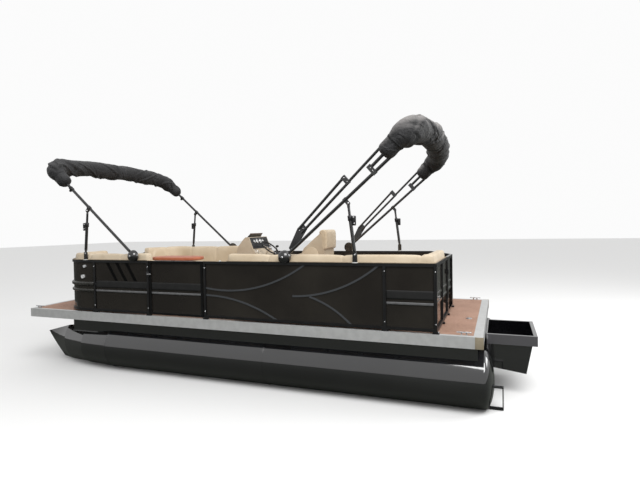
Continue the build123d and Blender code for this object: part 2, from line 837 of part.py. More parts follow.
with BuildPart() as helm_seat_pad:
    block(seat_x + shell_back + seat_plate + seat_back_pad + lounge_gap, seat_x + shell_front,
          seat_post_y - pad_half, seat_post_y + pad_half,
          seat_pad_bottom, seat_pad_bottom + seat_pad_height)

back_pad_rear = seat_x + shell_back + seat_plate + soft_gap
back_pad_bottom = seat_pad_bottom
with BuildPart() as helm_back_pad:
    with BuildSketch(Plane.XZ.offset(-(seat_post_y + pad_half))):
        with BuildLine():
            Polyline(
                (back_pad_rear, back_pad_bottom),
                (back_pad_rear + seat_back_pad, back_pad_bottom),
                (back_pad_rear + seat_back_pad_top, shell_top + soft_gap),
                (back_pad_rear, shell_top + soft_gap),
                close=True,
            )
        make_face()
    extrude(amount=2 * pad_half)
    with BuildSketch(Plane.XZ.offset(-(seat_post_y + shell_half))):
        with BuildLine():
            Polyline(*[(seat_x + x, z) for x, z in helm_roll_profile], close=True)
        make_face()
    extrude(amount=2 * shell_half)

keep("helm_console", helm_console.part)
keep("windscreen", windscreen.part)
keep("steering_wheel", steering_wheel.part)
keep("helm_seat_post", helm_seat_post.part)
keep("helm_seat_shell", helm_seat_shell.part)
keep("helm_seat_pad", helm_seat_pad.part)
keep("helm_back_pad", helm_back_pad.part)


def eye(pivot, direction, y, neck):
    """A flat eye round a pivot pin, with a neck to the round tube beyond it."""
    plane = Plane(origin=(pivot.X, y, pivot.Z), x_dir=direction, z_dir=Vector(0, 1, 0))
    with BuildPart() as end:
        with BuildSketch(plane):
            Circle(eye_radius)
            with Locations((neck / 2, 0)):
                Rectangle(neck, eye_neck_width)
        extrude(amount=eye_thickness / 2, both=True)
        with BuildSketch(plane):
            Circle(pivot_pin_radius + brace_clearance)
        extrude(amount=eye_thickness, both=True, mode=Mode.SUBTRACT)
    return end.part


def pivot_bracket(x, y, z):
    """Two cheeks on the top rail with the pin that an eye turns on."""
    inner = eye_thickness / 2 + eye_side_gap
    with BuildPart() as bracket:
        for side in (-1, 1):
            y0 = y + side * inner
            y1 = y + side * (inner + pivot_cheek)
            block(x - pivot_cheek_radius, x + pivot_cheek_radius, min(y0, y1), max(y0, y1),
                  fence_top, z)
            middle = (y0 + y1) / 2
            add(rod((x, middle - pivot_cheek / 2, z), (x, middle + pivot_cheek / 2, z),
                    pivot_cheek_radius))
        block(x - pivot_cheek_radius, x + pivot_cheek_radius, y - inner - pivot_cheek,
              y + inner + pivot_cheek, fence_top, fence_top + bracket_plate)
        add(rod((x, y - inner - pivot_cheek, z), (x, y + inner + pivot_cheek, z), pivot_pin_radius))
    return bracket.part


def dome(x, side, z):
    """The half ball that covers a canopy pivot on its outboard side."""
    face = side * (canopy_half_width + eye_thickness / 2 + eye_side_gap)
    with BuildPart() as ball:
        with Locations((x, face, z)):
            Sphere(pivot_dome_radius)
        block(x - pivot_dome_radius, x + pivot_dome_radius, face, face - side * pivot_dome_radius,
              z - pivot_dome_radius, z + pivot_dome_radius, mode=Mode.SUBTRACT)
        block(x - pivot_dome_radius, x + pivot_dome_radius, face, face + side * pivot_dome_radius,
              z - pivot_dome_radius, fence_top, mode=Mode.SUBTRACT)
    return ball.part


# columns: pivot station, brace station and reach, which way it leans, slope, reach, crown, boot's
# start and radius
canopies = {
    "front": (front_pivot_station, front_brace_station, front_brace_reach, 1, front_slope,
              front_reach, front_crown, front_boot_start, front_boot_radius),
    "rear": (rear_pivot_station, rear_brace_station, rear_brace_reach, -1, rear_slope,
             rear_reach, rear_crown, rear_boot_start, rear_boot_radius),
}

for end, canopy in canopies.items():
    (pivot_station, brace_station, brace_reach, lean, slope, reach, crown, boot_start,
     boot_radius) = canopy
    pivot = Vector(at(pivot_station), 0, pivot_level)
    along = Vector(lean * cos(radians(slope)), 0, sin(radians(slope)))
    droop = rear_leg_droop if lean < 0 else 0
    leg = Vector(lean * cos(radians(slope - droop)), 0, sin(radians(slope - droop)))
    rise = Vector(-lean * sin(radians(slope - droop)), 0, cos(radians(slope - droop)))
    bow_plane = Plane(origin=pivot, x_dir=along, z_dir=along.cross(Vector(0, 1, 0)))
    foot = Vector(at(brace_station), 0, brace_foot_level)
    brace_eye = pivot + leg * brace_reach - rise * brace_eye_drop
    brace_line = (brace_eye - foot).normalized()
    brace_length = (brace_eye - foot).length

    def bow_route(start):
        """The canopy bow's centre line from one leg to the other, in its own plane."""
        crest = reach + crown
        return FilletPolyline(
            (start, -canopy_half_width), (reach, -canopy_half_width),
            (crest, -canopy_crest_half_width), (crest, canopy_crest_half_width),
            (reach, canopy_half_width), (start, canopy_half_width),
            radius=[canopy_corner_radius, canopy_crest_radius, canopy_crest_radius,
                    canopy_corner_radius],
        )

    bow_start = rear_bow_leg_start if lean < 0 else eye_neck
    leg_end = boot_start + boot_grip if lean < 0 else 2 * eye_neck

    def on_leg(slant, height, y):
        """A point beside a canopy leg: slant along it from the pivot, height above it."""
        return pivot + leg * slant + rise * height + Vector(0, y, 0)

    legs = []
    for side in (-1, 1):
        y = side * canopy_half_width
        legs.append((on_leg(eye_neck, 0, y), on_leg(leg_end, 0, y), canopy_tube_radius))
        if lean < 0:
            legs += [(on_leg(*low, y), on_leg(*high, y), stay_radius) for low, high in rear_stays]

    with BuildPart() as bow:
        with BuildLine(bow_plane) as route:
            bow_route(bow_start)
        with BuildSketch(Plane(origin=route.line @ 0, z_dir=route.line % 0)):
            Circle(canopy_tube_radius)
        sweep(path=route.line)
        for low, high, radius in legs:
            add(rod(low, high, radius))
        for side in (-1, 1):
            y = side * canopy_half_width
            add(eye(pivot, leg, y, eye_neck))
            if lean < 0:
                leg_plane = Plane(origin=pivot + Vector(0, y, 0), x_dir=leg, z_dir=leg.cross(rise))
                with BuildSketch(leg_plane):
                    Polygon(*rear_web, align=None)
                extrude(amount=web_thickness / 2, both=True)
                for slant, lowest, highest in rear_plates:
                    with BuildSketch(leg_plane):
                        with Locations((slant, (lowest + highest) / 2)):
                            Rectangle(plate_width, highest - lowest)
                    extrude(amount=stay_radius + plate_lap, both=True)
            clamp = on_leg(brace_reach, 0, y)
            add(rod(clamp - leg * clamp_length / 2, clamp + leg * clamp_length / 2,
                    canopy_tube_radius + clamp_wall))
            ear = eye_thickness / 2 + brace_eye_side_gap
            for face in (-1, 1):
                ear_plane = Plane(origin=(brace_eye.X, y + face * ear, brace_eye.Z), x_dir=leg,
                                  z_dir=Vector(0, face, 0))
                with BuildSketch(ear_plane):
                    Circle(eye_radius)
                    with Locations((0, -face * lean * brace_eye_drop / 2)):
                        Rectangle(2 * eye_radius, brace_eye_drop)
                extrude(amount=pivot_cheek)

    with BuildPart() as boot:
        with BuildLine(bow_plane) as boot_route:
            bow_route(boot_start)
        with BuildSketch(Plane(origin=boot_route.line @ 0, z_dir=boot_route.line % 0)):
            Circle(boot_radius)
            Circle(canopy_tube_radius + soft_gap, mode=Mode.SUBTRACT)
        sweep(path=boot_route.line)
        for low, high, radius in legs:
            add(rod(low, high + (high - low).normalized() * soft_gap, radius + soft_gap),
                mode=Mode.SUBTRACT)

    with BuildPart() as brace_tubes:
        for side in (-1, 1):
            y = side * canopy_half_width
            add(eye(foot, brace_line, y, brace_neck))
            start = foot + brace_line * brace_neck + Vector(0, y, 0)
            finish = foot + brace_line * brace_tube_length + Vector(0, y, 0)
            add(rod(start, finish, brace_tube_radius))
            add(rod(start + brace_line * brace_neck / 3, finish + brace_line,
                    brace_rod_radius + brace_clearance), mode=Mode.SUBTRACT)

    with BuildPart() as brace_rods:
        for side in (-1, 1):
            y = side * canopy_half_width
            tip = foot + brace_line * brace_length
            add(eye(tip, brace_line * -1, y, brace_neck))
            start = tip - brace_line * brace_rod_length + Vector(0, y, 0)
            add(rod(start, tip - brace_line * brace_neck + Vector(0, y, 0), brace_rod_radius))

    keep(f"{end}_canopy_bow", bow.part)
    keep(f"{end}_canopy_boot", boot.part)
    keep(f"{end}_brace_tubes", brace_tubes.part)
    keep(f"{end}_brace_rods", brace_rods.part)

with BuildPart() as canopy_brackets:
    for side in (-1, 1):
        for station, level in ((front_pivot_station, pivot_level), (rear_pivot_station, pivot_level),
                               (front_brace_station, brace_foot_level),
                               (rear_brace_station, brace_foot_level)):
            add(pivot_bracket(at(station), side * canopy_half_width, level))
        for station in (front_pivot_station, rear_pivot_station):
            add(dome(at(station), side, pivot_level))

keep("canopy_brackets", canopy_brackets.part)

# Deck cleats, a horned bar on two feet near each corner
with BuildPart() as cleats:
    for x in (at(cleat_stern_setback), bow_corner - cleat_bow_setback):
        for side in (-1, 1):
            y = side * (half_beam - cleat_inset)
            add(rod((x - cleat_length / 2, y, deck_top + cleat_height - 7),
                    (x + cleat_length / 2, y, deck_top + cleat_height - 7), 7))
            for foot_side in (-1, 1):
                foot_x = x + foot_side * cleat_length / 6
                add(rod((foot_x, y, deck_top), (foot_x, y, deck_top + cleat_height - 7), 8))

keep("cleats", cleats.part)

for name, piece in pieces.items():
    export_step(piece, f"parts/{name}.step")
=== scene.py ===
# %% [markdown]
# # A pontoon boat, dressed for its picture
#
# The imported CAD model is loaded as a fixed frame. Each cell below adds one layer of looks to it:
# the camera, the studio, the materials, then the soft and small pieces.
# Lengths are in metres. +X points to the bow, +Y to port, +Z up, and the ground is at Z = 0.
# A "station" is a distance forward of the deck's aft edge.

# %% Load the frame
import math
import bmesh
import bpy
import numpy as np
from mathutils import Matrix, Vector


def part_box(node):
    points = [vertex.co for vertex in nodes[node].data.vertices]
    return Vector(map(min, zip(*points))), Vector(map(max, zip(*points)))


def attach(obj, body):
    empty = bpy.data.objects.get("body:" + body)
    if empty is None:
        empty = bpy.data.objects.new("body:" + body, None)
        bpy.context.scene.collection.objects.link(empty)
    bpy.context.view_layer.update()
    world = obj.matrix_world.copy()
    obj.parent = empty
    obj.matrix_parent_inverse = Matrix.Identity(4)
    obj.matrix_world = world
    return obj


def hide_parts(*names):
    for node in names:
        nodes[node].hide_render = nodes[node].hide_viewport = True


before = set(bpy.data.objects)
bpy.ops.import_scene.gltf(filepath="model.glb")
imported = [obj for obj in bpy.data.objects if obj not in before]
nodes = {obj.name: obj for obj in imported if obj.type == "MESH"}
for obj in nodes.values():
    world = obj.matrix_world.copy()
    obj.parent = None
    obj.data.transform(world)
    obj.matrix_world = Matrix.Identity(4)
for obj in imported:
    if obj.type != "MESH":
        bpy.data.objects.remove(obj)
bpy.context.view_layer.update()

AFT_EDGE = -3.020
DECK_TOP = 0.845
FENCE_Y = 1.248
FENCE_TOP = 1.588


def at(station):
    """X of a station, in metres forward of the deck's aft edge."""
    return AFT_EDGE + station


def turns(count):
    """Angles of a full circle in even steps."""
    return np.linspace(0, math.tau, count, endpoint=False)


def vec(x, y, z):
    return np.array([x, y, z], float)


def add_object(name, data):
    """An object with its data, put into the scene."""
    obj = bpy.data.objects.new(name, data)
    bpy.context.collection.objects.link(obj)
    return obj


# %% [markdown]
# ## Camera
# The camera stands off the port quarter and looks across the boat towards the bow.
# Its place and angles were solved from straight edges of the deck, the fence and the canopies.

# %% Camera
CAMERA_PLACE = Vector((-3.1745, 6.1818, 1.9926))
YAW, PITCH, TILT = (math.radians(a) for a in (21.2474, -1.5561, -1.0427))
FOCAL_PIXELS = 460.33
IMAGE_WIDTH = 640

forward = Vector((math.sin(YAW) * math.cos(PITCH), -math.cos(YAW) * math.cos(PITCH), math.sin(PITCH)))
level_right = forward.cross(Vector((0, 0, 1))).normalized()
level_up = level_right.cross(forward)
right = level_right * math.cos(TILT) + level_up * math.sin(TILT)
up = level_up * math.cos(TILT) - level_right * math.sin(TILT)

lens = bpy.data.cameras.new("camera")
lens.sensor_fit = "HORIZONTAL"
lens.sensor_width = 36
lens.lens = FOCAL_PIXELS / IMAGE_WIDTH * lens.sensor_width
camera = add_object("camera", lens)
axes = Matrix((right, up, -forward)).transposed().to_4x4()
camera.matrix_world = Matrix.Translation(CAMERA_PLACE) @ axes
bpy.context.scene.camera = camera
print("camera lens", round(lens.lens, 2), "mm")

# %% [markdown]
# ## Studio
# A pale floor and a pale backdrop, one large soft lamp above and to port, and a weaker one astern.
# The surround is pale to the camera and through glass, and a little dimmer in reflections.

# %% Floor, backdrop and lamps
def add_node(tree, kind, links=(), **inputs):
    """A shader node with its plain inputs set and (socket, input) pairs linked."""
    node = tree.nodes.new("ShaderNode" + kind)
    for key, value in inputs.items():
        node.inputs[key.replace("_", " ")].default_value = value
    for source, key in links:
        tree.links.new(source, node.inputs[key])
    return node


def math_node(tree, operation, *values):
    """A math node whose inputs are sockets or plain numbers."""
    node = tree.nodes.new("ShaderNodeMath")
    node.operation = operation
    for value, socket in zip(values, node.inputs):
        if isinstance(value, (int, float)):
            socket.default_value = value
        else:
            tree.links.new(value, socket)
    return node.outputs[0]


def mixed(tree, factor, a, b):
    """A colour between a and b; each is a socket or an RGB triple."""
    node = tree.nodes.new("ShaderNodeMix")
    node.data_type = "RGBA"
    tree.links.new(factor, node.inputs["Factor"])
    for key, colour in (("A", a), ("B", b)):
        if isinstance(colour, tuple):
            node.inputs[key].default_value = (*colour, 1)
        else:
            tree.links.new(colour, node.inputs[key])
    return node.outputs["Result"]


FLOOR_HALF = 60
PALE = (0.86, 0.86, 0.855)
DARK_GROUND = (0.085, 0.09, 0.08)
floor_mesh = bpy.data.meshes.new("studio_floor")
floor_mesh.from_pydata([(x * FLOOR_HALF, y * FLOOR_HALF, 0)
                        for x, y in ((-1, -1), (1, -1), (1, 1), (-1, 1))], [], [(0, 1, 2, 3)])
floor = add_object("studio_floor", floor_mesh)
floor_mat = bpy.data.materials.new("studio_floor")
floor_mat.use_nodes = True
ground = floor_mat.node_tree
shader = ground.nodes["Principled BSDF"]
shader.inputs["Roughness"].default_value = 0.9
shader.inputs["Specular IOR Level"].default_value = 0.2
# Reflections and bounced light meet a darker ground, as on grass, so black paint keeps its depth
ground_path = add_node(ground, "LightPath")
ground.links.new(mixed(ground, ground_path.outputs["Is Camera Ray"], DARK_GROUND, PALE),
                 shader.inputs["Base Color"])
floor_mesh.materials.append(floor_mat)


def area_lamp(name, place, target, size, power):
    """A square soft lamp at a place, facing a target."""
    data = bpy.data.lights.new(name, "AREA")
    data.shape = "SQUARE"
    data.size = size
    data.energy = power
    lamp = add_object(name, data)
    lamp.location = place
    lamp.rotation_euler = (Vector(target) - Vector(place)).to_track_quat("-Z", "Y").to_euler()


area_lamp("key_lamp", (-5.0, 5.5, 9.0), (0, 0, 1.0), 6.0, 700)
area_lamp("stern_lamp", (-10.0, -3.0, 6.0), (-1.0, 0, 1.2), 5.0, 350)

world = bpy.data.worlds.new("studio")
bpy.context.scene.world = world
world.use_nodes = True
tree = world.node_tree
background = tree.nodes["Background"]
path = add_node(tree, "LightPath").outputs
seen = math_node(tree, "MAXIMUM", path["Is Camera Ray"], path["Is Transmission Ray"])
strength = add_node(tree, "MapRange", [(seen, "Value")], To_Min=0.85, To_Max=0.97)
dimmed = math_node(tree, "MULTIPLY_ADD", path["Is Glossy Ray"], -0.25, strength.outputs["Result"])
tree.links.new(dimmed, background.inputs["Strength"])
background.inputs["Color"].default_value = (1, 1, 1, 1)
bpy.context.scene.view_settings.view_transform = "Standard"

# %% [markdown]
# ## Materials
# Every finish is procedural and reads the object's own coordinates, in metres, so its grain has the
# same size on every piece. One function makes them all: two colours mixed by a noise, a roughness
# range from a second noise, and up to two bumps.

# %% The material maker
def noise(tree, vector, scale, detail=4.0, distortion=0.0):
    """Fractal noise from 0 to 1, of a scale per metre."""
    return add_node(tree, "TexNoise", [(vector, "Vector")], Scale=scale, Detail=detail,
                    Distortion=distortion).outputs[0]


def height_of(tree, vector, kind, scale):
    """A bump's height from 0 to 1: grain, folds, pebble, brushed lines, ribs along an axis, weave."""
    if kind == "grain":
        return noise(tree, vector, scale, 6)
    if kind == "folds":
        return noise(tree, vector, scale, 3, 1.2)
    if kind == "pebble":
        node = add_node(tree, "TexVoronoi", [(vector, "Vector")], Scale=scale)
        node.feature = "SMOOTH_F1"
        return node.outputs["Distance"]
    if kind == "brushed":
        fine_lines = add_node(tree, "Mapping", [(vector, "Vector")], Scale=(1, 1, 30)).outputs[0]
        return noise(tree, fine_lines, scale, 3)
    waves = [math_node(tree, "SINE", math_node(tree, "MULTIPLY", out, scale * math.tau))
             for out in add_node(tree, "SeparateXYZ", [(vector, 0)]).outputs]
    if kind in ("ribs_x", "ribs_z"):
        return math_node(tree, "MULTIPLY_ADD", waves["xyz".index(kind[-1])], 0.5)
    across = math_node(tree, "MULTIPLY", waves[0], waves[1])
    upright = math_node(tree, "MULTIPLY", math_node(tree, "ADD", waves[0], waves[1]), waves[2])
    return math_node(tree, "MULTIPLY_ADD", math_node(tree, "ADD", across, upright), 0.35)


def make(name, dark, light, spread, rough, bumps, metallic=0.0, sheen=0.0, coat=0.0, coat_ior=1.5,
         specular=0.5, speck=None, upward_tone=None):
    """A finish. spread is the colour noise's scale per metre; bumps are (kind, scale, depth in
    metres); speck is (colour, scale, share) for a heather of threads; upward_tone is (colour, share)
    of a second colour mixed in patches into what faces up."""
    mat = bpy.data.materials.new(name)
    mat.use_nodes = True
    tree = mat.node_tree
    shader = tree.nodes["Principled BSDF"]
    coords = add_node(tree, "TexCoord").outputs["Object"]
    ramp = add_node(tree, "ValToRGB", [(noise(tree, coords, spread, 5), 0)])
    for element, place, colour in zip(ramp.color_ramp.elements, (0.35, 0.65), (dark, light)):
        element.position = place
        element.color = (*colour, 1)
    colour = ramp.outputs[0]
    if speck:
        tint, scale, share = speck
        dots = add_node(tree, "MapRange", [(noise(tree, coords, scale, 2), "Value")],
                        From_Min=1 - share, From_Max=1 - share + 0.08)
        colour = mixed(tree, dots.outputs[0], colour, tint)
    if upward_tone:
        # what faces up is mixed in patches towards a second colour
        tint, amount = upward_tone
        normal = add_node(tree, "NewGeometry").outputs["Normal"]
        upward = add_node(tree, "SeparateXYZ", [(normal, 0)]).outputs["Z"]
        upward_share = add_node(tree, "MapRange", [(upward, "Value")], From_Min=0.2, From_Max=1.0,
                        To_Max=amount)
        patchy = math_node(tree, "MULTIPLY", upward_share.outputs[0], noise(tree, coords, 3.0, 6))
        colour = mixed(tree, patchy, colour, tint)
    tree.links.new(colour, shader.inputs["Base Color"])
    gloss = add_node(tree, "MapRange", [(noise(tree, coords, spread * 2.3, 4), "Value")],
                     To_Min=rough[0], To_Max=rough[1])
    tree.links.new(gloss.outputs[0], shader.inputs["Roughness"])
    for key, value in (("Metallic", metallic), ("Specular IOR Level", specular),
                       ("Sheen Weight", sheen), ("Sheen Roughness", 0.5), ("Coat Weight", coat),
                       ("Coat Roughness", 0.06), ("Coat IOR", coat_ior)):
        shader.inputs[key].default_value = value
    last = None
    for kind, scale, depth in bumps:
        bump = add_node(tree, "Bump", [(height_of(tree, coords, kind, scale), "Height")],
                        Strength=1.0, Distance=depth)
        if last:
            tree.links.new(last, bump.inputs["Normal"])
        last = bump.outputs[0]
    if last:
        tree.links.new(last, shader.inputs["Normal"])
    return mat


# %% Finishes
paint = make("hull_paint", (0.003, 0.003, 0.004), (0.007, 0.007, 0.008), 1.2, (0.06, 0.14),
             [("folds", 1.6, 0.003)], upward_tone=((0.2, 0.21, 0.23), 0.12), coat=1.0, coat_ior=1.75,
             specular=0.9)
panel = make("panel_gloss", (0.017, 0.0145, 0.0125), (0.028, 0.0245, 0.0205), 1.4, (0.05, 0.12),
             [("folds", 1.1, 0.0012)])
frame_black = make("frame_black", (0.003, 0.003, 0.0035), (0.006, 0.006, 0.0065), 8, (0.34, 0.48),
                   [("grain", 900, 0.00015)])
trim = make("ribbed_trim", (0.50, 0.505, 0.50), (0.56, 0.565, 0.56), 14, (0.38, 0.48), metallic=0.2,
            bumps=[("ribs_x", 90, 0.0012), ("grain", 120, 0.0003)])
canopy_tube = make("canopy_tube", (0.004, 0.004, 0.0045), (0.008, 0.008, 0.009), 9, (0.16, 0.24),
                   [("grain", 700, 0.0001)], coat=0.7, specular=0.9)
matte_band = make("matte_band", (0.006, 0.006, 0.006), (0.011, 0.011, 0.011), 8, (0.6, 0.75),
                  [("grain", 500, 0.0002)])
silver_band = make("silver_band", (0.16, 0.16, 0.165), (0.22, 0.22, 0.225), 12, (0.3, 0.42),
                   metallic=0.4, bumps=[("brushed", 60, 0.0002)])
stripe_black = make("stripe_black", (0.0008, 0.0008, 0.0008), (0.0016, 0.0016, 0.0016), 9, (0.6, 0.75),
                    [("grain", 700, 0.00012)], specular=0.12)
corner_band = make("corner_band", (0.028, 0.027, 0.024), (0.042, 0.041, 0.037), 9, (0.22, 0.32),
                   [("grain", 500, 0.0001)])
gauge_face = make("gauge_face", (0.55, 0.55, 0.53), (0.7, 0.7, 0.68), 30, (0.2, 0.3),
                  [("grain", 500, 0.0001)])
pale_cap = make("pale_cap", (0.5, 0.5, 0.48), (0.62, 0.62, 0.6), 14, (0.35, 0.5),
                [("grain", 260, 0.0003)])
tan_plate = make("tan_plate", (0.26, 0.22, 0.15), (0.34, 0.29, 0.21), 16, (0.3, 0.42),
                 [("grain", 200, 0.0003)])
brown_plate = make("brown_plate", (0.09, 0.05, 0.035), (0.13, 0.075, 0.055), 12, (0.3, 0.4),
                   [("grain", 200, 0.0003)])
bare_metal = make("bare_aluminium", (0.36, 0.37, 0.38), (0.55, 0.56, 0.57), 6, (0.35, 0.55),
                  metallic=0.9, bumps=[("brushed", 40, 0.0003)])
plywood = make("plywood", (0.2, 0.12, 0.06), (0.36, 0.23, 0.12), 9, (0.6, 0.8),
               [("grain", 40, 0.0008)])
vinyl_floor = make("woven_floor", (0.25, 0.13, 0.09), (0.36, 0.2, 0.145), 3, (0.7, 0.85),
                   [("weave", 150, 0.0012)], speck=((0.55, 0.36, 0.26), 260, 0.5))
tan = make("tan_vinyl", (0.56, 0.45, 0.31), (0.68, 0.57, 0.42), 2.5, (0.38, 0.52),
           [("pebble", 420, 0.0003), ("folds", 7, 0.006)], sheen=0.1)
tan_seat = make("seat_vinyl", (0.5, 0.4, 0.27), (0.63, 0.52, 0.38), 3.5, (0.4, 0.55),
                [("pebble", 420, 0.0003), ("folds", 9, 0.007)], sheen=0.1)
piping_tan = make("tan_piping", (0.34, 0.27, 0.19), (0.42, 0.34, 0.24), 12, (0.35, 0.5),
                    [("grain", 300, 0.0003)])
moulding = make("moulded_tan", (0.47, 0.38, 0.27), (0.56, 0.47, 0.35), 4, (0.4, 0.55),
                [("grain", 260, 0.0005)])
table_red = make("table_red", (0.42, 0.125, 0.06), (0.52, 0.17, 0.09), 7, (0.3, 0.45),
                 [("grain", 180, 0.0004)])
black_plastic = make("black_plastic", (0.01, 0.01, 0.011), (0.02, 0.02, 0.022), 10, (0.35, 0.55),
                     [("grain", 420, 0.0003)])
rubber = make("soft_grip", (0.012, 0.012, 0.012), (0.022, 0.022, 0.022), 20, (0.6, 0.75),
              [("pebble", 300, 0.0006)])
steel = make("polished_steel", (0.5, 0.5, 0.51), (0.66, 0.66, 0.67), 14, (0.12, 0.28),
             metallic=1.0, bumps=[("brushed", 90, 0.0001)])
canvas_front = make("canvas_front", (0.006, 0.006, 0.007), (0.016, 0.016, 0.018), 6, (0.5, 0.75),
                    [("weave", 420, 0.0005), ("folds", 12, 0.022)], sheen=0.12,
                    upward_tone=((0.07, 0.07, 0.072), 0.75))
canvas_rear = make("canvas_rear", (0.008, 0.008, 0.009), (0.022, 0.022, 0.024), 5, (0.5, 0.75),
                   [("weave", 420, 0.0005), ("folds", 10, 0.026)], sheen=0.14,
                   upward_tone=((0.34, 0.32, 0.31), 1.3))
webbing = make("webbing", (0.012, 0.012, 0.013), (0.03, 0.03, 0.032), 30, (0.7, 0.85),
               [("weave", 500, 0.0006)])
lamp_lens = make("lamp_lens", (0.55, 0.56, 0.58), (0.8, 0.8, 0.8), 25, (0.08, 0.16),
                 [("ribs_z", 160, 0.0015)])
acrylic = make("dark_acrylic", (0.02, 0.02, 0.022), (0.035, 0.034, 0.036), 5, (0.03, 0.07), [])
acrylic.node_tree.nodes["Principled BSDF"].inputs["Transmission Weight"].default_value = 0.6

ZONE_FADE = 0.0004


def zone(mat, where, colour):
    """Tints a finish where a value made by where(tree, coordinate sockets) is above zero."""
    tree = mat.node_tree
    coords = add_node(tree, "TexCoord").outputs["Object"]
    split = add_node(tree, "SeparateXYZ", [(coords, 0)])
    edge = add_node(tree, "MapRange", [(where(tree, split.outputs), "Value")], From_Max=ZONE_FADE)
    base = tree.nodes["Principled BSDF"].inputs["Base Color"]
    tree.links.new(mixed(tree, edge.outputs[0], base.links[0].from_socket, colour), base)


def beyond(tree, value, level):
    """How far a value, taken without its sign, is past a level."""
    return math_node(tree, "SUBTRACT", math_node(tree, "ABSOLUTE", value), level)


# the pod's rim is what lies above a level, outside its sides' inner faces or abaft its cavity
POD_RIM_LEVEL, POD_SIDE, POD_AFT = 0.5895, 0.4495, -3.5795
# a gate's frame stands out from its sheet on both faces
gate_panel = panel.copy()
gate_panel.name = "gate_panel"
zone(gate_panel, lambda tree, xyz: beyond(tree, beyond(tree, xyz[1], FENCE_Y), 0.0105),
     (0.004, 0.004, 0.0045))
# the fence panels' raised sweeps stand outboard of the sheet; there the dark panel is tinted a lighter
# blue-grey, a painted reflection of the bright surround on the sweeps
zone(panel, lambda tree, xyz: beyond(tree, xyz[1], FENCE_Y + 0.0035), (0.062, 0.066, 0.071))
pod_paint = paint.copy()
pod_paint.name = "pod_paint"
zone(pod_paint, lambda tree, xyz: math_node(
    tree, "MINIMUM", math_node(tree, "SUBTRACT", xyz[2], POD_RIM_LEVEL),
    math_node(tree, "MAXIMUM", beyond(tree, xyz[1], POD_SIDE),
              math_node(tree, "SUBTRACT", POD_AFT, xyz[0]))), (0.085, 0.082, 0.09))

finishes = {
    pod_paint: ("motor_pod",),
    paint: ("pontoon_port", "pontoon_starboard", "stern_brackets", "pontoon_risers",
            "cross_members"),
    panel: ("fence_port_forward_panel", "fence_port_aft_panel", "fence_starboard_panel"),
    gate_panel: ("side_gate", "bow_gate", "aft_gate"),
    frame_black: ("fence_port_forward_frame", "fence_port_aft_frame", "fence_starboard_frame"),
    canopy_tube: ("canopy_brackets", "front_canopy_bow", "rear_canopy_bow", "front_brace_tubes",
                  "rear_brace_tubes", "front_brace_rods", "rear_brace_rods"),
    trim: ("deck_trim",),
    bare_metal: ("helm_seat_post",),
    plywood: ("deck_board",),
    vinyl_floor: ("deck_floor",),
    moulding: ("bow_lounge_bases", "port_lounge_base", "helm_console", "helm_seat_shell"),
    table_red: ("table",),
    steel: ("gate_hinges", "cleats"),
    acrylic: ("windscreen",),
    lamp_lens: ("docking_lights",),
}
for mat, names in finishes.items():
    for name in names:
        nodes[name].data.materials.clear()
        nodes[name].data.materials.append(mat)
print(sum(len(names) for names in finishes.values()), "CAD nodes have a finish")

# %% [markdown]
# ## Mesh helpers
# Most pieces are rings of points joined by quads: a surface that is closed round each ring and at
# both ends. A route's rings stand square to it and don't twist.

# %% Helpers
def put(name, mesh, mat, body, smooth=True):
    """An object at the origin from a mesh, with a finish, riding on a body."""
    if smooth:
        mesh.shade_smooth()
    mesh.materials.append(mat)
    obj = add_object(name, mesh)
    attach(obj, body)
    return obj


def ring_faces(rings, sides, loop):
    """Quads between rings of equal sides, and a fan at each end unless the rings loop."""
    faces = []
    steps = [(j, (j + 1) % sides) for j in range(sides)]
    for i in range(rings if loop else rings - 1):
        a, b = i * sides, (i + 1) % rings * sides
        faces += [(a + j, b + j, b + k, a + k) for j, k in steps]
    if not loop:
        hub, end = rings * sides, (rings - 1) * sides
        for j, k in steps:
            faces += [(hub, j, k), (hub + 1, end + k, end + j)]
    return faces


def skin(name, rings, mat, body="hull", loop=False, smooth=True):
    """A closed surface over an array of rings, shaped (rings, sides, 3), facing outward."""
    rings = np.asarray(rings, float)
    count, sides, _ = rings.shape
    points = list(rings.reshape(-1, 3))
    if not loop:
        points += [rings[0].mean(axis=0), rings[-1].mean(axis=0)]
    mesh = bpy.data.meshes.new(name)
    mesh.from_pydata([tuple(p) for p in points], [], ring_faces(count, sides, loop))
    mesh.validate()
    obj = put(name, mesh, mat, body, smooth)
    work = bmesh.new()
    work.from_mesh(mesh)
    bmesh.ops.recalc_face_normals(work, faces=work.faces)
    work.to_mesh(mesh)
    work.free()
    return obj


def route(corners, radii, step=0.02):
    """Points about a step apart along straight runs whose corners are rounded to the radii.
    At each corner the line leaves its run where a circle of that radius touches it."""
    corners = [np.array(c, float) for c in corners]
    points = [corners[0]]
    for before, corner, after, radius in zip(corners, corners[1:], corners[2:], radii):
        a = (before - corner) / np.linalg.norm(before - corner)
        b = (after - corner) / np.linalg.norm(after - corner)
        half = math.acos(np.clip(a @ b, -1, 1)) / 2
        reach = radius / math.tan(half)
        middle = corner + (a + b) / np.linalg.norm(a + b) * radius / math.sin(half)
        start, end = corner + a * reach - middle, corner + b * reach - middle
        sweep = math.pi - 2 * half
        for t in np.linspace(0, 1, max(3, int(radius * sweep / step) + 1)):
            points.append(middle + (start * math.sin((1 - t) * sweep) + end * math.sin(t * sweep))
                          / math.sin(sweep))
    points.append(corners[-1])
    line = [points[0]]
    for a, b in zip(points, points[1:]):
        length = np.linalg.norm(b - a)
        if length < 1e-6:
            continue
        for t in range(1, max(1, round(length / step)) + 1):
            line.append(a + (b - a) * t / max(1, round(length / step)))
    return np.array(line)


def lengths(line):
    """Distance along a line to each of its points."""
    return np.r_[0, np.cumsum(np.linalg.norm(np.diff(line, axis=0), axis=1))]


def along(line):
    """Unit directions along a line of points."""
    step = np.gradient(line, axis=0)
    return step / np.linalg.norm(step, axis=1)[:, None]


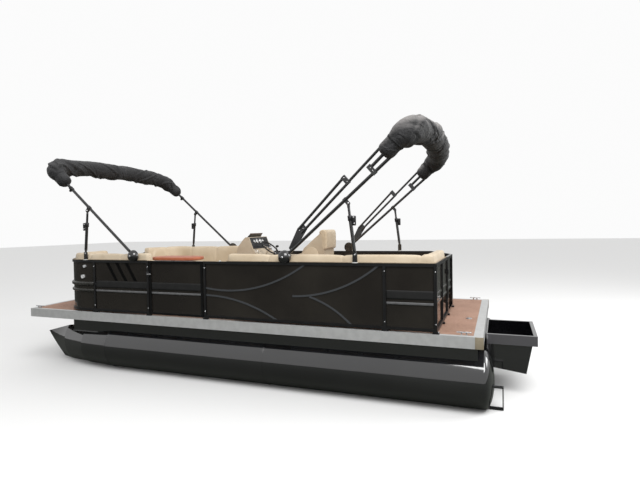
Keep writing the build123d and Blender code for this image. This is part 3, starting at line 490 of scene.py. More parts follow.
def beside(line):
    """Level unit directions square to a line in plan."""
    ways = along(np.c_[line[:, :2], np.zeros(len(line))])
    return np.c_[-ways[:, 1], ways[:, 0], np.zeros(len(line))]


def frames(line, hint=(0, 0, 1)):
    """Two unit vectors square to the line at each point, carried along it without twisting."""
    ways = along(line)
    side = np.cross(ways[0], hint)
    if np.linalg.norm(side) < 1e-6:
        side = np.cross(ways[0], (1, 0, 0))
    sides = []
    for way in ways:
        side = side - way * (side @ way)
        side = side / np.linalg.norm(side)
        sides.append(side)
    sides = np.array(sides)
    return sides, np.cross(ways, sides)


UPRIGHT = np.array([[0.0, 0.0, 1.0]])


def rings_along(line, across, upright):
    """Rings along a line: each ring point lies across and upright by lengths of shape (ring) or
    (line, ring), along unit directions of which there is one, or one for each point."""
    (side, reach), (rise, height) = across, upright
    return line[:, None] + side[:, None] * reach[..., None] + rise[:, None] * height[..., None]


def tube(name, line, radius, mat, body="hull", sides=12, flat=1.0):
    """A round or flattened tube along a line; radius may be one number or one per point."""
    line = np.asarray(line, float)
    a, b = frames(line)
    radius = np.broadcast_to(radius, len(line))[:, None]
    turn = turns(sides)
    rings = rings_along(line, (a, np.cos(turn) * radius), (b, np.sin(turn) * radius * flat))
    return skin(name, rings, mat, body)


def lathe(name, centre, axis, profile, mat, body="hull", sides=32):
    """A solid of revolution: profile is (distance along the axis, radius) from end to end."""
    axis = np.array(axis, float) / np.linalg.norm(axis)
    a = np.cross(axis, (0.3, 0.5, 0.81))
    a /= np.linalg.norm(a)
    b = np.cross(axis, a)
    turn = turns(sides)
    circle = np.cos(turn)[:, None] * a + np.sin(turn)[:, None] * b
    return skin(name, [np.array(centre) + axis * h + circle * r for h, r in profile], mat, body)


def slab(name, lo, hi, bevel, mat, body="hull", turn=None):
    """A box between two corners with rounded edges; turn is (centre, axis, angle)."""
    lo, hi = np.array(lo, float), np.array(hi, float)
    work = bmesh.new()
    bmesh.ops.create_cube(work, size=1)
    for v in work.verts:
        v.co = Vector((lo + hi) / 2 + np.array(v.co) * (hi - lo))
    bmesh.ops.bevel(work, geom=list(work.edges), offset=bevel, segments=3, profile=0.5,
                    affect="EDGES")
    if turn:
        centre, axis, angle = turn
        bmesh.ops.rotate(work, verts=work.verts, cent=centre, matrix=Matrix.Rotation(angle, 3, axis))
    bmesh.ops.recalc_face_normals(work, faces=work.faces)
    mesh = bpy.data.meshes.new(name)
    work.to_mesh(mesh)
    work.free()
    return put(name, mesh, mat, body)


def gather(name, objs, body="hull"):
    """Joins pieces and lets the result ride a body."""
    with bpy.context.temp_override(active_object=objs[0], selected_editable_objects=objs,
                                   selected_objects=objs):
        bpy.ops.object.join()
    objs[0].name = name
    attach(objs[0], body)


# %% [markdown]
# ## Soft goods
# Cushions start as crowned closed forms and are then blown up a little by Blender's cloth, with
# gravity off. How far any point may move is capped, so each cushion keeps to its CAD solid's place.

# %% Cloth and its cap
CLOTH_FRAMES = 20


def points_of(mesh):
    """A mesh's points, one in each row."""
    flat = np.empty(len(mesh.vertices) * 3)
    mesh.vertices.foreach_get("co", flat)
    return flat.reshape(-1, 3)


def puff(obj, cap):
    """Runs cloth with pressure on a closed mesh, then keeps each point within cap of its start."""
    mesh = obj.data
    start = points_of(mesh)
    cloth = obj.modifiers.new("cloth", "CLOTH")
    cloth.settings.use_pressure = True
    cloth.settings.uniform_pressure_force = 4.0
    cloth.settings.effector_weights.gravity = 0
    cloth.settings.quality = 5
    cloth.settings.mass = 0.3
    cloth.settings.bending_stiffness = 1.0
    cloth.point_cache.frame_end = CLOTH_FRAMES
    scene = bpy.context.scene
    for number in range(1, CLOTH_FRAMES + 1):
        scene.frame_set(number)
    solved = obj.evaluated_get(bpy.context.evaluated_depsgraph_get()).data
    move = points_of(solved) - start
    size = np.linalg.norm(move, axis=1)[:, None]
    move *= np.minimum(1, cap / np.maximum(size, 1e-9))
    obj.modifiers.remove(cloth)
    mesh.vertices.foreach_set("co", (start + move).ravel())
    mesh.update()
    scene.frame_set(1)


def superellipse(angles, power):
    """Points of |x|^p + |y|^p = 1 at the angles, a circle at p = 2 and nearly a square at p = 8."""
    c, s = np.cos(angles), np.sin(angles)
    grow = (np.abs(c) ** power + np.abs(s) ** power) ** (-1 / power)
    return c * grow, s * grow


def quarter(t):
    """The rise of a quarter circle, from 0 at 0 to 1 at 1 and on."""
    return np.sqrt(1 - (1 - np.clip(t, 0, 1)) ** 2)


SHRINK = 0.006      # how far a cushion's skin stays inside its CAD solid before it is blown up
END_ROUND, END_TAPER, SEAM_NIP = 0.03, 0.06, 0.010


def cushion(name, line, width, low, high, mat, body, seams=(), crown=0.012, cap=0.010):
    """A padded strip along a plan line: an almost square section, pulled in at its ends and seams
    and crowned between them. seams are lengths along the line."""
    line = np.asarray(line, float)
    length = lengths(line[:, :2])
    edges = [0.0, *seams, length[-1]]
    inside = np.zeros(len(line))
    pinch = np.zeros(len(line))
    for a, b in zip(edges, edges[1:]):
        part = (length >= a) & (length <= b)
        t = np.clip((length[part] - a) / (b - a), 0, 1)
        inside[part] = 1 - (2 * t - 1) ** 4
    for seam in seams:
        pinch = np.maximum(pinch, np.exp(-((length - seam) / 0.014) ** 2))
    ends = np.minimum(length, length[-1] - length)
    taper = END_TAPER * 0.45 * (1 - quarter(ends / END_ROUND))
    c, s = superellipse(turns(56), 9)
    less = (taper + pinch * SEAM_NIP)[:, None]
    swell = crown * inside[:, None]
    reach = c * (width / 2 - SHRINK - less + 0.5 * swell * (1 - s ** 2))
    height = s * ((high - low) / 2 - SHRINK - less) + swell * (1 - c ** 2) * np.clip(s, 0, 1)
    middle = line * (1, 1, 0) + vec(0, 0, (low + high) / 2)
    obj = skin(name, rings_along(middle, (beside(line), reach), (UPRIGHT, height)), mat, body)
    puff(obj, cap)
    smooth = obj.modifiers.new("smooth", "SUBSURF")
    smooth.levels = smooth.render_levels = 1
    return obj


def fine(corners, radii):
    """A plan route with close points, for a cushion."""
    return route([(*c, 0) for c in corners], radii, 0.016)


# %% Lounge backrests, with piping where they meet the rails
SIDES = ((1, "port"), (-1, "starboard"))
POST = 0.032
BACK_THICK = 0.130
LOUNGE_GAP = 0.008
SOFT_GAP = 0.0003
back_middle = POST / 2 + SOFT_GAP + BACK_THICK / 2
SEAT_BOTTOM, SEAT_TOP, BACK_TOP = 1.180, 1.290, 1.682
bow_x, stern_x = at(5.888), at(0.470)
BOW_ROUND = 0.430

bow_line = fine([(bow_x - back_middle, 0.450), (bow_x - back_middle, FENCE_Y - back_middle),
                 (at(4.275), FENCE_Y - back_middle)], [BOW_ROUND - back_middle])
stern_line = fine([(at(3.040), FENCE_Y - back_middle), (stern_x + back_middle, FENCE_Y - back_middle),
                   (stern_x + back_middle, 0.170)], [BACK_THICK / 2 + LOUNGE_GAP])
BOW_SEAMS, PORT_SEAMS = (0.50, 1.06, 1.62), (0.593, 1.534, 2.42, 2.62)
for name, line, seams, node in (
        ("bow_back_port", bow_line, BOW_SEAMS, "bow_backrests"),
        ("bow_back_starboard", bow_line * (1, -1, 1), BOW_SEAMS, "bow_backrests"),
        ("port_back", stern_line, PORT_SEAMS, "port_backrest")):
    back = cushion(name, line, BACK_THICK, SEAT_BOTTOM, BACK_TOP, tan, "hull", seams=seams)
    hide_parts(node)


def piping(name, corners, radius):
    """A round cord sewn along a backrest's edge, just above the rail."""
    line = route([(*c, FENCE_TOP + 0.006) for c in corners], [radius], 0.03)
    tube(name, line, 0.006, piping_tan, sides=8)


for side, word in SIDES:
    piping("bow_pipe_" + word, [(bow_x, side * 0.47), (bow_x, side * FENCE_Y),
                                (at(4.275), side * FENCE_Y)], BOW_ROUND)
piping("port_pipe", [(at(3.02), FENCE_Y), (stern_x, FENCE_Y), (stern_x, 0.19)], 0.05)

# %% Seat cushions
SEAT_DEEP = 0.560
seat_back = FENCE_Y - back_middle - BACK_THICK / 2 - LOUNGE_GAP
seat_front = seat_back - SEAT_DEEP
seat_mid = (seat_back + seat_front) / 2
bow_inner = bow_x - POST / 2 - SOFT_GAP - BACK_THICK - LOUNGE_GAP
inner_round = BOW_ROUND - POST / 2 - SOFT_GAP - BACK_THICK - LOUNGE_GAP
lid_end = bow_inner - inner_round - 0.024


def seat(name, ends, body, node, seams=(), cap=0.008):
    """A seat cushion between two plan points."""
    obj = cushion(name, fine(ends, []), SEAT_DEEP, SEAT_BOTTOM, SEAT_TOP, tan_seat, body,
                  seams=seams, crown=0.010, cap=cap)
    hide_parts(node)


for side, word in SIDES:
    seat("bow_seat_" + word, [(at(4.275), side * seat_mid), (lid_end, side * seat_mid)],
         "bow_%s_seat" % word, "bow_lid_" + word, (0.51,))
seat("port_seat", [(at(1.192), seat_mid), (at(3.040), seat_mid)], "port_lounge_seat",
     "port_lounge_lid", (0.62, 1.23))


def corner_seat(name, side):
    """The short fixed seat ahead of a bow lid, its outer corner rounded to follow the backrest."""
    x0, x1 = lid_end + LOUNGE_GAP, bow_inner
    outline_x, outline_y = superellipse(turns(64), 10)
    rings = []
    for level, scale in ((0.0, 0.93), (0.012, 0.985), (0.035, 1.0), (0.075, 1.0), (0.094, 0.985),
                         (0.104, 0.94), (0.108, 0.8), (0.111, 0.55), (0.112, 0.25)):
        x = (x0 + x1) / 2 + outline_x * ((x1 - x0) / 2 - SHRINK) * scale
        y = seat_mid + outline_y * (SEAT_DEEP / 2 - SHRINK) * scale
        centre = np.array([x1 - inner_round, seat_back - inner_round])
        reach = (inner_round - SHRINK) * scale
        out = np.c_[x, y] - centre
        far = np.linalg.norm(out, axis=1)
        past = (out[:, 0] > 0) & (out[:, 1] > 0) & (far > reach)
        flat = centre + out * np.where(past, reach / np.maximum(far, 1e-9), 1)[:, None]
        rings.append(np.c_[flat[:, 0], flat[:, 1] * side, np.full(64, SEAT_BOTTOM - SOFT_GAP + level)])
    obj = skin(name, rings, tan_seat)
    puff(obj, 0.004)
    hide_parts("bow_corner_seats")


for side, word in SIDES:
    corner_seat("bow_corner_seat_" + word, side)

stern_in = stern_x + POST / 2 + SOFT_GAP + BACK_THICK + LOUNGE_GAP
cross_x = stern_in + SEAT_DEEP / 2
seat("stern_corner_seat_side", [(stern_in, seat_mid), (at(1.184), seat_mid)], "hull",
     "port_corner_seat", cap=0.006)
seat("stern_corner_seat_aft", [(cross_x, 0.170), (cross_x, seat_front)], "hull",
     "port_corner_seat", cap=0.006)

# %% [markdown]
# ## Canopy boots
# Each folded canopy lies in a canvas bag that follows its bow. The bag is tied in at both legs and
# creased where the cloth is drawn round the poles. A crease is a short diagonal ridge: on a bag
# unrolled to length s and angle t, its height is a Gaussian across the line s = s0 + slope (t - t0)
# and a wider Gaussian along it.

# %% Boots
CANOPY_HALF = 1.250
chance = np.random.default_rng(7)


def leg_axes(lean, slope):
    """Unit directions up a canopy's leg and square to it, away from the rail."""
    slope = math.radians(slope)
    return (vec(lean * math.cos(slope), 0, math.sin(slope)),
            vec(-lean * math.sin(slope), 0, math.cos(slope)))


def canopy_line(pivot, lean, slope, start, reach, crown):
    """The canopy bow's centre line inside its boot, from one leg over to the other."""
    way, _ = leg_axes(lean, slope)
    flat = [(start, -CANOPY_HALF), (reach, -CANOPY_HALF), (reach + crown, -0.480),
            (reach + crown, 0.480), (reach, CANOPY_HALF), (start, CANOPY_HALF)]
    corners = [pivot + way * u + vec(0, v, 0) for u, v in flat]
    return route(corners, [0.240, 0.900, 0.900, 0.240], 0.010)


def wrapped(angle):
    """An angle brought to -pi..pi."""
    return (angle + math.pi) % math.tau - math.pi


def creases(count, length, height, width, slope):
    """Random creases: place, angle, height, width, slope, and how far round the bag each runs."""
    return np.c_[chance.uniform(0.05, length - 0.05, count), chance.uniform(0, math.tau, count),
                 chance.uniform(*height, count), chance.uniform(*width, count),
                 chance.uniform(*slope, count) * chance.choice((-1, 1), count),
                 chance.uniform(0.5, 1.5, count)]


CUFF_LENGTH, MOUTH_LENGTH = 0.16, 0.075


def boot(name, line, radius, cuff, mat, body, node):
    """A wrinkled canvas bag round a bow, narrow at both ends."""
    length = lengths(line)
    total = length[-1]
    a, b = frames(line, (0, 1, 0.2))
    turn = turns(96)
    ends = np.minimum(length, total - length)
    swell = np.clip((ends - CUFF_LENGTH) / CUFF_LENGTH, 0, 1)
    swell = swell * swell * (3 - 2 * swell)
    size = cuff + (radius - cuff) * swell
    size *= 1 + 0.03 * np.sin(length * 7.3 + 1) * swell + 0.02 * np.sin(length * 17.1) * swell
    size *= 0.40 + 0.60 * quarter(ends / MOUTH_LENGTH)
    marks = np.r_[creases(26, total, (0.012, 0.024), (0.030, 0.055), (0.10, 0.26)),
                  creases(30, total, (0.005, 0.010), (0.012, 0.022), (0.06, 0.20)),
                  creases(40, total, (0.002, 0.004), (0.007, 0.012), (0.03, 0.12))]
    bump = np.zeros((len(line), 96))
    for s0, t0, high, wide, lean, span in marks:
        around = wrapped(turn - t0)
        near = np.abs(length - s0) < 0.45
        across = length[near, None] - s0 - lean * around[None]
        ridge = np.exp(-(across / wide) ** 2) - 0.6 * np.exp(-((across - 1.3 * wide) / wide) ** 2)
        bump[near] += high * ridge * np.exp(-(around / span) ** 2)[None]
    bump = np.clip(bump, -0.030, 0.022) * np.clip(ends / 0.1, 0.15, 1)[:, None]
    girth = size[:, None] + bump
    rings = rings_along(line, (a, np.cos(turn) * girth), (b, np.sin(turn) * girth))
    rings[..., 2] -= 0.006 * swell[:, None]
    obj = skin(name, rings, mat, body)
    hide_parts(node)
    return rings, length


def strap(name, rings, length, where, body):
    """A flat strap round a bag, pressed on to its surface at a length along it."""
    near = np.flatnonzero(np.abs(length - where) <= 0.015)
    belt = rings[near]
    centre = belt.mean(axis=1, keepdims=True)
    out = (belt - centre) / np.linalg.norm(belt - centre, axis=2, keepdims=True)
    top = belt + out * 0.003
    under = belt - out * 0.004
    skin(name, np.concatenate([top, under[::-1]]).transpose(1, 0, 2), webbing, body, loop=True)


PIVOT_LEVEL = 1.650
FRONT_PIVOT, REAR_PIVOT = vec(at(4.493), 0, PIVOT_LEVEL), vec(at(2.214), 0, PIVOT_LEVEL)
# canopy, (pivot, lean, slope, start, reach, crown), boot's radius, its cuffs' radius, canvas, strap
boots = []
for canopy, bow, radius, cuff, canvas, tie in (
        ("front", (FRONT_PIVOT, 1, 41.0, 1.590, 2.000, 0.095), 0.124, 0.092, canvas_front, 0.17),
        ("rear", (REAR_PIVOT, -1, 43.0, 1.640, 2.030, 0.130), 0.148, 0.104, canvas_rear, 0.19)):
    boots.append((canopy, tie, *boot(canopy + "_boot", canopy_line(*bow), radius, cuff, canvas,
                                     canopy + "_canopy", canopy + "_canopy_boot")))
for canopy, tie, rings, length in boots:
    for number, where in enumerate((tie, length[-1] / 2, length[-1] - tie)):
        strap("%s_strap_%d" % (canopy, number), rings, length, where, canopy + "_canopy")

# %% [markdown]
# ## Helm
# The seat turns on its post and the wheel on its shaft. The console keeps its CAD form and gets its
# dark instrument panel, gauges, throttle and the screen's edge trim.

# %% Pillows and mouldings drawn in side view
def rounded(outline, rounds):
    """A closed outline with its corners cut, each round halving the cuts."""
    points = np.array(outline, float)
    for _ in range(rounds):
        after = np.roll(points, -1, axis=0)
        points = np.stack([points * 0.75 + after * 0.25, points * 0.25 + after * 0.75],
                          axis=1).reshape(-1, 2)
    return points


def even(points, count):
    """A closed outline's points set at even spacing."""
    closed = np.r_[points, points[:1]]
    length = lengths(closed)
    where = np.linspace(0, length[-1], count, endpoint=False)
    return np.c_[np.interp(where, length, closed[:, 0]), np.interp(where, length, closed[:, 1])]


def pillow(name, outline, y0, y1, edge, rounds, node=None):
    """A tan helm pad with a side-view outline (x, z) and a width in y, rounded where it ends."""
    count = 96
    shape = even(rounded(outline, rounds), count)
    step = np.roll(shape, -1, axis=0) - np.roll(shape, 1, axis=0)
    normal = np.c_[step[:, 1], -step[:, 0]] / np.linalg.norm(step, axis=1)[:, None]
    area = np.sum(shape[:, 0] * np.roll(shape[:, 1], -1) - np.roll(shape[:, 0], -1) * shape[:, 1])
    normal *= np.sign(area)
    half = (y1 - y0) / 2
    rings = []
    for v in np.sin(np.linspace(-1, 1, 25) * math.pi / 2):
        ring = shape - normal * edge * (1 - quarter((half - abs(v) * half) / edge))
        rings.append(np.c_[ring[:, 0], np.full(count, (y0 + y1) / 2 + v * half), ring[:, 1]])
    obj = skin(name, rings, tan, "helm_seat")
    puff(obj, 0.004)
    if node:
        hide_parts(node)


# %% Helm seat
SEAT_X, SEAT_Y = at(2.560), -0.740
pad_lo, pad_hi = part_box("helm_seat_pad")
seat_pad = cushion("helm_cushion", fine([(pad_lo[0] + 0.004, SEAT_Y), (pad_hi[0], SEAT_Y)], []),
                   pad_hi[1] - pad_lo[1], pad_lo[2], pad_hi[2], tan_seat, "helm_seat",
                   seams=(0.26,), cap=0.006)
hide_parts("helm_seat_pad")
back_x = SEAT_X - 0.175 + 0.016 + SOFT_GAP
pillow("helm_back", [(back_x, pad_lo[2]), (back_x + 0.100, pad_lo[2]), (back_x + 0.104, 1.560),
                     (back_x + 0.062, 1.904), (back_x, 1.904)],
       pad_lo[1], pad_hi[1], 0.03, 2, "helm_back_pad")
# side views of the head roll and of a wing: distance ahead of the seat's post, and level
ROLL = ((-0.140, 1.648), (-0.128, 1.870), (-0.092, 1.908), (-0.108, 1.950), (-0.156, 1.962),
        (-0.202, 1.958), (-0.219, 1.900), (-0.219, 1.690), (-0.206, 1.645))
WING = ((0.30, 1.30), (0.31, 1.54), (0.19, 1.575), (0.12, 1.66), (0.02, 1.70), (-0.06, 1.66),
        (-0.10, 1.55), (-0.11, 1.30))
pillow("helm_roll", [(SEAT_X + x, z) for x, z in ROLL], SEAT_Y - 0.236, SEAT_Y + 0.236, 0.022, 2,
       "helm_back_pad")
for side, word in reversed(SIDES):
    near, far = sorted((SEAT_Y + side * 0.230, SEAT_Y + side * 0.242))
    pillow("helm_wing_" + word, [(SEAT_X + x, z) for x, z in WING], near, far, 0.0059, 3)

# %% Steering wheel
WHEEL = vec(at(3.480), -0.820, 1.662)
WHEEL_RADIUS = 0.165
WHEEL_TILT = math.radians(50)
wheel_axis = vec(-math.cos(WHEEL_TILT), 0, math.sin(WHEEL_TILT))
wheel_side = vec(0, 1, 0)
wheel_up = np.cross(wheel_axis, wheel_side)
round_turn, section = turns(96), turns(16)
ways = np.outer(np.cos(round_turn), wheel_side) + np.outer(np.sin(round_turn), wheel_up)
grip = 0.0122 + 0.0008 * np.cos(round_turn * 24)
rim = rings_along(WHEEL + WHEEL_RADIUS * ways, (ways, np.outer(grip, np.cos(section))),
                  (wheel_axis[None], np.outer(grip, np.sin(section))))
wheel = [skin("wheel_rim", rim, rubber, "steering_wheel", loop=True)]
for number in range(3):
    t = math.radians(90 + 120 * number)
    way = math.cos(t) * wheel_side + math.sin(t) * wheel_up
    spoke = [WHEEL + way * r + wheel_axis * h for r, h in
             ((0.018, -0.004), (0.05, -0.006), (0.09, -0.006), (0.13, -0.003), (0.160, 0.0))]
    wheel.append(tube("wheel_spoke_%d" % number, spoke, [0.017, 0.014, 0.012, 0.012, 0.013], steel,
                      "steering_wheel", flat=0.35))
wheel.append(lathe("wheel_hub", WHEEL, wheel_axis,
                   [(-0.25, 0.009), (-0.03, 0.009), (-0.028, 0.026), (0.002, 0.030),
                    (0.010, 0.027), (0.014, 0.016), (0.0155, 0.004)], steel, "steering_wheel"))
for obj in wheel:
    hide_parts("steering_wheel")

# %% [markdown]
# ## Small hardware
# Bolts, latches, caps, bands and clamps. Small pieces of one kind that ride one body are joined.

# %% Bolts, bands and plates
def bolt(foot, axis, radius, height=0.006):
    """A domed bolt head with its washer, standing on a face."""
    return lathe("bolt", foot, axis, [(-0.002, radius * 1.5), (0.0015, radius * 1.5),
                                      (0.002, radius), (height * 0.7, radius * 0.95),
                                      (height, radius * 0.6), (height * 1.05, 0.0005)],
                 steel, sides=12)


def band(name, line, proud, height, mat, edge, body="hull"):
    """A rounded flat band along a line in plan, its section proud wide and height tall."""
    x, z = superellipse(turns(20), 2 + 2 / edge)
    rings = rings_along(line, (beside(line), x * proud / 2), (UPRIGHT, z * height / 2))
    return skin(name, rings, mat, body)


PANEL_FACE = FENCE_Y + 0.002
STRIPE_HALF = 0.0275


def stripe(side, top, bottom):
    """A thin slanted stripe on a side panel, between the stations of its two ends' middles."""
    y = side * (PANEL_FACE + 0.0006)
    corners = [(at(x) + shift * STRIPE_HALF, z) for x, z, shift in
               ((top, 1.552, -1), (top, 1.552, 1), (bottom, 1.302, 1), (bottom, 1.302, -1))]
    rings = np.array([[(x, y + depth * 0.0008, z) for x, z in corners]
                      for depth in (-1, -0.9, 0.9, 1)])
    middle = rings.mean(axis=1, keepdims=True)
    for last in (0, -1):
        rings[last] = middle[last] + (rings[last] - middle[last]) * 0.985
    return skin("stripe", rings, stripe_black, smooth=False)


for side, word in SIDES:
    gather("stripes_" + word, [stripe(side, top, bottom) for top, bottom in
                               ((4.972, 4.815), (4.803, 4.646), (4.634, 4.477))])

# %% Bands that wrap the bow corners, and the wide and pale flat bands along the sides
UPPER_BAND, LOWER_BAND = 1.251, 1.157
for side, word in SIDES:
    corner = [(at(5.232), side * FENCE_Y), (bow_x, side * FENCE_Y), (bow_x, side * 0.436)]
    gather("bow_bands_" + word, [
        band("bow_band", route([(*c, level) for c in corner], [BOW_ROUND]), proud, height,
             corner_band, 0.9)
        for level, proud, height in ((UPPER_BAND, 0.056, 0.050), (LOWER_BAND, 0.048, 0.038))])

FLAT_FACE = PANEL_FACE + 0.0042
# level, thickness, height, finish, how round the section is
WIDE_BAND = (1.250, 0.0092, 0.094, matte_band, 0.2)
PALE_BAND = (LOWER_BAND, 0.0098, 0.026, silver_band, 0.4)


def side_band(name, side, start, end, look, body="hull"):
    """A flat band between two stations of one side."""
    level, *rest = look
    line = route([(at(start), side * FLAT_FACE, level), (at(end), side * FLAT_FACE, level)], [])
    return band(name, line, *rest, body)


band_spans = ((1, 5.186, 4.278), (1, 1.000, 0.490), (-1, 5.186, 4.278), (-1, 4.242, 3.368),
              (-1, 1.000, 0.880))
for word, look in (("wide", WIDE_BAND), ("pale", PALE_BAND)):
    gather(word + "_bands", [side_band(word, *span, look) for span in band_spans])
for word, look in (("wide", WIDE_BAND), ("pale", PALE_BAND)):
    side_band("side_gate_%s_band" % word, 1, 3.410, 4.200, look, "side_gate")

# %% Bolts through the fence's posts and feet
FENCE_FACE = FENCE_Y + POST / 2
heads = []
for side, stations in ((1, (5.212, 4.260, 3.350, 1.017, 0.470)),
                       (-1, (5.212, 4.260, 3.350, 2.150, 0.860))):
    for station in stations:
        for level in (1.502, 0.947):
            heads.append(bolt((at(station), side * FENCE_FACE, level), (0, side, 0), 0.006))
        for offset in (-0.026, 0.026):
            foot = (at(station) + offset, side * FENCE_Y, DECK_TOP + 0.022)
            heads.append(bolt(foot, (0, 0, 1), 0.006))
gather("fence_bolts", heads)

# %% Gate latches, rail button, deck fitting and stern corner caps
x = at(4.244)
slab("side_latch", (x - 0.016, FENCE_FACE, 1.372), (x + 0.030, FENCE_FACE + 0.012, 1.440), 0.004,
     black_plastic)
slab("side_latch_lever", (x - 0.055, FENCE_FACE + 0.012, 1.398),
     (x + 0.012, FENCE_FACE + 0.020, 1.416), 0.0035, steel)
slab("bow_latch", (bow_x + 0.016, 0.404, 1.372), (bow_x + 0.028, 0.440, 1.440), 0.004, black_plastic)
slab("aft_latch", (stern_x - 0.028, 0.136, 1.372), (stern_x - 0.016, 0.176, 1.440), 0.004,
     black_plastic)
lathe("rail_button", (at(3.119), FENCE_Y + 0.004, FENCE_TOP), (0, 0, 1),
      [(-0.001, 0.015), (0.006, 0.015), (0.012, 0.011), (0.014, 0.0006)], pale_cap, sides=20)
lathe("deck_fitting", (at(0.194), 0.298, DECK_TOP), (0, 0, 1),
      [(-0.001, 0.036), (0.003, 0.036), (0.005, 0.033), (0.005, 0.026), (0.008, 0.024),
       (0.009, 0.0006)], bare_metal)
for side, word in SIDES:
    caps = []
    for aft, inner, forward in ((-0.003, 1.275, 0.080), (-0.004, 1.235, 0.0)):
        low, high = sorted((side * inner, side * 1.279))
        caps.append(slab("cap", (at(aft), low, 0.722), (at(forward), high, 0.846), 0.0018, tan_plate))
    gather("trim_cap_" + word, caps)

# %% Weld beads on the tubes
TUBE_Y, TUBE_RADIUS = 0.930, 0.3125
section = turns(8)
ways = np.c_[np.zeros(96), np.cos(turns(96)), np.sin(turns(96))]
for side, word in SIDES:
    beads = []
    for station in (2.570, 5.090):
        line = vec(at(station), side * TUBE_Y, TUBE_RADIUS) + ways * (TUBE_RADIUS + 0.0003)
        rings = rings_along(line, (ways, np.cos(section) * 0.003),
                            (vec(1, 0, 0)[None], np.sin(section) * 0.006))
        beads.append(skin("bead", rings, paint, loop=True))
    gather("weld_beads_" + word, beads)

# %% [markdown]
# ## Table
# A thick rounded slab on a post, between the bow lounges.

# %% Table
TABLE_X, TABLE_TOP = at(4.750), 1.560
TABLE_LENGTH, TABLE_WIDTH = 0.900, 0.460


def slot_ring(inset, level):
    """A level ring in the shape of the table's slab, drawn in by an inset."""
    radius = TABLE_WIDTH / 2 - inset
    half = TABLE_LENGTH / 2 - TABLE_WIDTH / 2
    c, s = np.cos(turns(96)), np.sin(turns(96))
    return np.c_[TABLE_X + np.where(c >= 0, half, -half) + c * radius, s * radius,
                 np.full(96, level)]


table = [skin("table_slab", [slot_ring(inset, TABLE_TOP - drop) for drop, inset in (
    (0.050, 0.016), (0.049, 0.008), (0.045, 0.002), (0.038, 0.0), (0.012, 0.0), (0.004, 0.0025),
    (0.0008, 0.008), (0.0, 0.016), (0.0008, 0.024), (0.0004, 0.100), (0.0, 0.180))], table_red)]
for name, profile in (
        ("table_post", [(0.012, 0.030), (0.40, 0.030), (0.401, 0.034), (0.43, 0.034), (0.431, 0.029),
                        (0.655, 0.029), (0.656, 0.060), (0.664, 0.064)]),
        ("table_foot", [(0.0, 0.110), (0.007, 0.110), (0.012, 0.104), (0.013, 0.060),
                        (0.030, 0.040), (0.034, 0.031)])):
    table.append(lathe(name, (TABLE_X, 0, DECK_TOP), (0, 0, 1), profile, bare_metal))
slab("table_rail", (TABLE_X - 0.340, -0.170, 1.495), (TABLE_X + 0.340, 0.170, 1.5095), 0.005, pale_cap)
slab("table_catch", (TABLE_X - 0.075, 0.165, 1.484), (TABLE_X - 0.015, 0.205, 1.5095), 0.006,
     black_plastic)
for obj in table:
    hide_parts("table")

# %% Console: instrument panel, gauges, throttle, cup holder and the screen's trim
DASH_HEAD, DASH_FOOT = np.array([at(3.742), 1.850]), np.array([at(3.664), 1.647])
slope = (DASH_HEAD - DASH_FOOT) / np.linalg.norm(DASH_HEAD - DASH_FOOT)
dash_tilt = math.atan2(slope[0], slope[1])
dash_normal = vec(-slope[1], 0, slope[0])
dash_middle = vec((DASH_HEAD[0] + DASH_FOOT[0]) / 2, 0, (DASH_HEAD[1] + DASH_FOOT[1]) / 2)


def on_dash(y, up, out):
    """A point on the instrument panel: across the boat, up its slope from its middle, and proud."""
    return dash_middle + vec(slope[0], 0, slope[1]) * up + dash_normal * out + vec(0, y, 0)


def dash_block(name, y, up, out, half, bevel, mat):
    """A rounded box that lies on the instrument panel, given by half its size."""
    centre = on_dash(y, up, out)
    return slab(name, centre - half, centre + half, bevel, mat,
                turn=(Vector(centre), "Y", dash_tilt))


dash_block("dash_panel", -0.870, 0.0, 0.003, (0.004, 0.300, 0.100), 0.003, black_plastic)
for number, (y, radius) in enumerate(((-0.680, 0.030), (-0.770, 0.042), (-0.880, 0.042),
                                      (-0.970, 0.030))):
    bezel = [(-0.001, 1), (0.006, 1), (0.009, 0.95), (0.009, 0.86), (0.004, 0.83)]
    face = [(0.0036, 0.80), (0.0046, 0.80)]
    for word, profile, middle, mat in (("bezel", bezel, 0.0035, steel),
                                       ("face", face, 0.005, gauge_face)):
        lathe("gauge_%d_%s" % (number, word), on_dash(y, 0.030, 0.007), dash_normal,
              [(h, radius * share) for h, share in profile] + [(middle, 0.0006)], mat)
dash_block("chart_screen", -1.075, 0.020, 0.008, (0.005, 0.062, 0.050), 0.004, rubber)
gather("dash_switches", [dash_block("switch", y, -0.066, 0.009, (0.005, 0.012, 0.010), 0.002,
                                    black_plastic) for y in np.arange(-1.13, -0.62, 0.045)])

slab("throttle_base", (at(3.470), -1.165, 1.490), (at(3.590), -1.085, 1.580), 0.014,
     black_plastic, turn=(Vector((at(3.530), -1.125, 1.535)), "Y", math.radians(35)))
tube("throttle_lever", [(at(3.525), -1.120, 1.575), (at(3.508), -1.112, 1.625),
                        (at(3.495), -1.100, 1.665)], [0.011, 0.009, 0.010], steel)
lathe("throttle_grip", (at(3.493), -1.145, 1.676), (0, 1, 0),
      [(0.0, 0.010), (0.006, 0.018), (0.030, 0.021), (0.062, 0.019), (0.070, 0.010)], rubber,
      sides=20)
lathe("cup_holder", (at(3.628), -0.615, 1.612), (-0.702, 0, 0.712),
      [(-0.004, 0.046), (0.004, 0.047), (0.006, 0.043), (0.004, 0.039), (-0.002, 0.038),
       (-0.0025, 0.0006)], steel)
for word, station, level, inner, outer, radius, mat in (
        ("head", 3.767, 1.907, -0.663, -1.077, 0.0085, brown_plate),
        ("foot", 3.878, 1.776, -0.603, -1.137, 0.0080, rubber)):
    line = route([(at(station), inner, level), (at(station), outer, level)], [])
    tube("screen_%s_trim" % word, line, radius, mat)

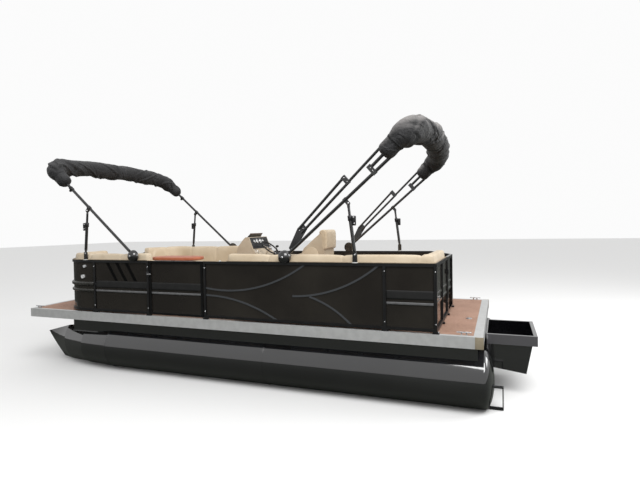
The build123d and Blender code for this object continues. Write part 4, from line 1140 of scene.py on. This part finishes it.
# %% [markdown]
# ## Canopy hardware
# Pads below the braces, a clamp at each brace tube's end, and the canopies' bolts.

# %% Canopy hardware
BRACE_LEVEL = 1.680
# canopy, brace's station, its direction in x and z, which way its clamp plate stands
for canopy, station, way_x, way_z, ahead in (("front", 5.372, -0.09925, 0.99506, 1),
                                             ("rear", 1.348, 0.12177, 0.99256, -1)):
    way, lying = vec(way_x, 0, way_z), vec(ahead * 0.044, 0, 0)
    clamps, pads = [], []
    for side, _ in SIDES:
        out = vec(0, side, 0)
        foot = vec(at(station), side * CANOPY_HALF, BRACE_LEVEL)
        pads.append(lathe("pad", (foot[0], foot[1], FENCE_TOP), (0, 0, 1),
                          [(0.0, 0.036), (0.006, 0.036), (0.009, 0.033), (0.010, 0.012)], pale_cap,
                          sides=24))
        pads.append(bolt(foot + out * 0.0105, out, 0.008))
        clamps.append(lathe("clamp", foot, way, [(0.384, 0.0215), (0.386, 0.026), (0.440, 0.026),
                                                 (0.444, 0.021), (0.446, 0.0155)], black_plastic,
                            sides=24))
        plate, half = foot + way * 0.385 + lying, vec(0.021, 0.016, 0.055)
        clamps.append(slab("clamp_plate", plate - half, plate + half, 0.010, black_plastic))
        for up in (0.352, 0.420):
            clamps.append(bolt(foot + way * up + lying + out * 0.016, out, 0.0085, 0.008))
    gather(canopy + "_brace_pads", pads)
    gather(canopy + "_brace_clamps", clamps, canopy + "_brace")

BRACE_EYE_DROP = 0.054
leg_way, leg_rise = leg_axes(-1, 43.0 - 2.7)
# up the leg, square to it, out from the canopy's side, radius and height of a bolt's head
rear_bolts = (
    (1.152, 0.134, 0.019, 0.007, 0.006), (1.152, 0.190, 0.019, 0.007, 0.006),
    (1.445, 0.020, 0.019, 0.007, 0.006), (1.445, 0.062, 0.019, 0.007, 0.006),
    (0.130, 0.014, 0.004, 0.006, 0.006), (0.352, 0.110, 0.004, 0.006, 0.006),
    (0.400, 0.100, 0.004, 0.006, 0.006), (1.000, -BRACE_EYE_DROP, 0.016, 0.010, 0.009),
)
gather("rear_canopy_bolts", [
    bolt(REAR_PIVOT + leg_way * up + leg_rise * rise + vec(0, side * (CANOPY_HALF + proud), 0),
         (0, side, 0), radius, height)
    for side, _ in SIDES for up, rise, proud, radius, height in rear_bolts], "rear_canopy")

leg_way, leg_rise = leg_axes(1, 41.0)
heads, clips = [], []
for side, _ in SIDES:
    out = vec(0, side, 0)
    heads.append(bolt(FRONT_PIVOT + leg_way * 1.040 - leg_rise * BRACE_EYE_DROP
                      + out * (CANOPY_HALF + 0.016), out, 0.010, 0.009))
    clip = FRONT_PIVOT + leg_way * 1.475 + out * CANOPY_HALF
    clips.append(lathe("clip", clip - leg_way * 0.03, leg_way,
                       [(0, 0.0195), (0.002, 0.027), (0.056, 0.027), (0.060, 0.0195)],
                       black_plastic, sides=20))
    clips.append(lathe("clip_eye", clip - leg_rise * 0.034 - out * 0.010, out,
                       [(0, 0.016), (0.003, 0.019), (0.017, 0.019), (0.020, 0.016)],
                       black_plastic, sides=20))
gather("front_canopy_bolts", heads, "front_canopy")
gather("front_canopy_clips", clips, "front_canopy")
DOME_FACE = CANOPY_HALF + 0.0045 + 0.081
gather("dome_bolts", [bolt((pivot[0], side * DOME_FACE, PIVOT_LEVEL), (0, side, 0), 0.010)
                      for pivot in (FRONT_PIVOT, REAR_PIVOT) for side, _ in SIDES])
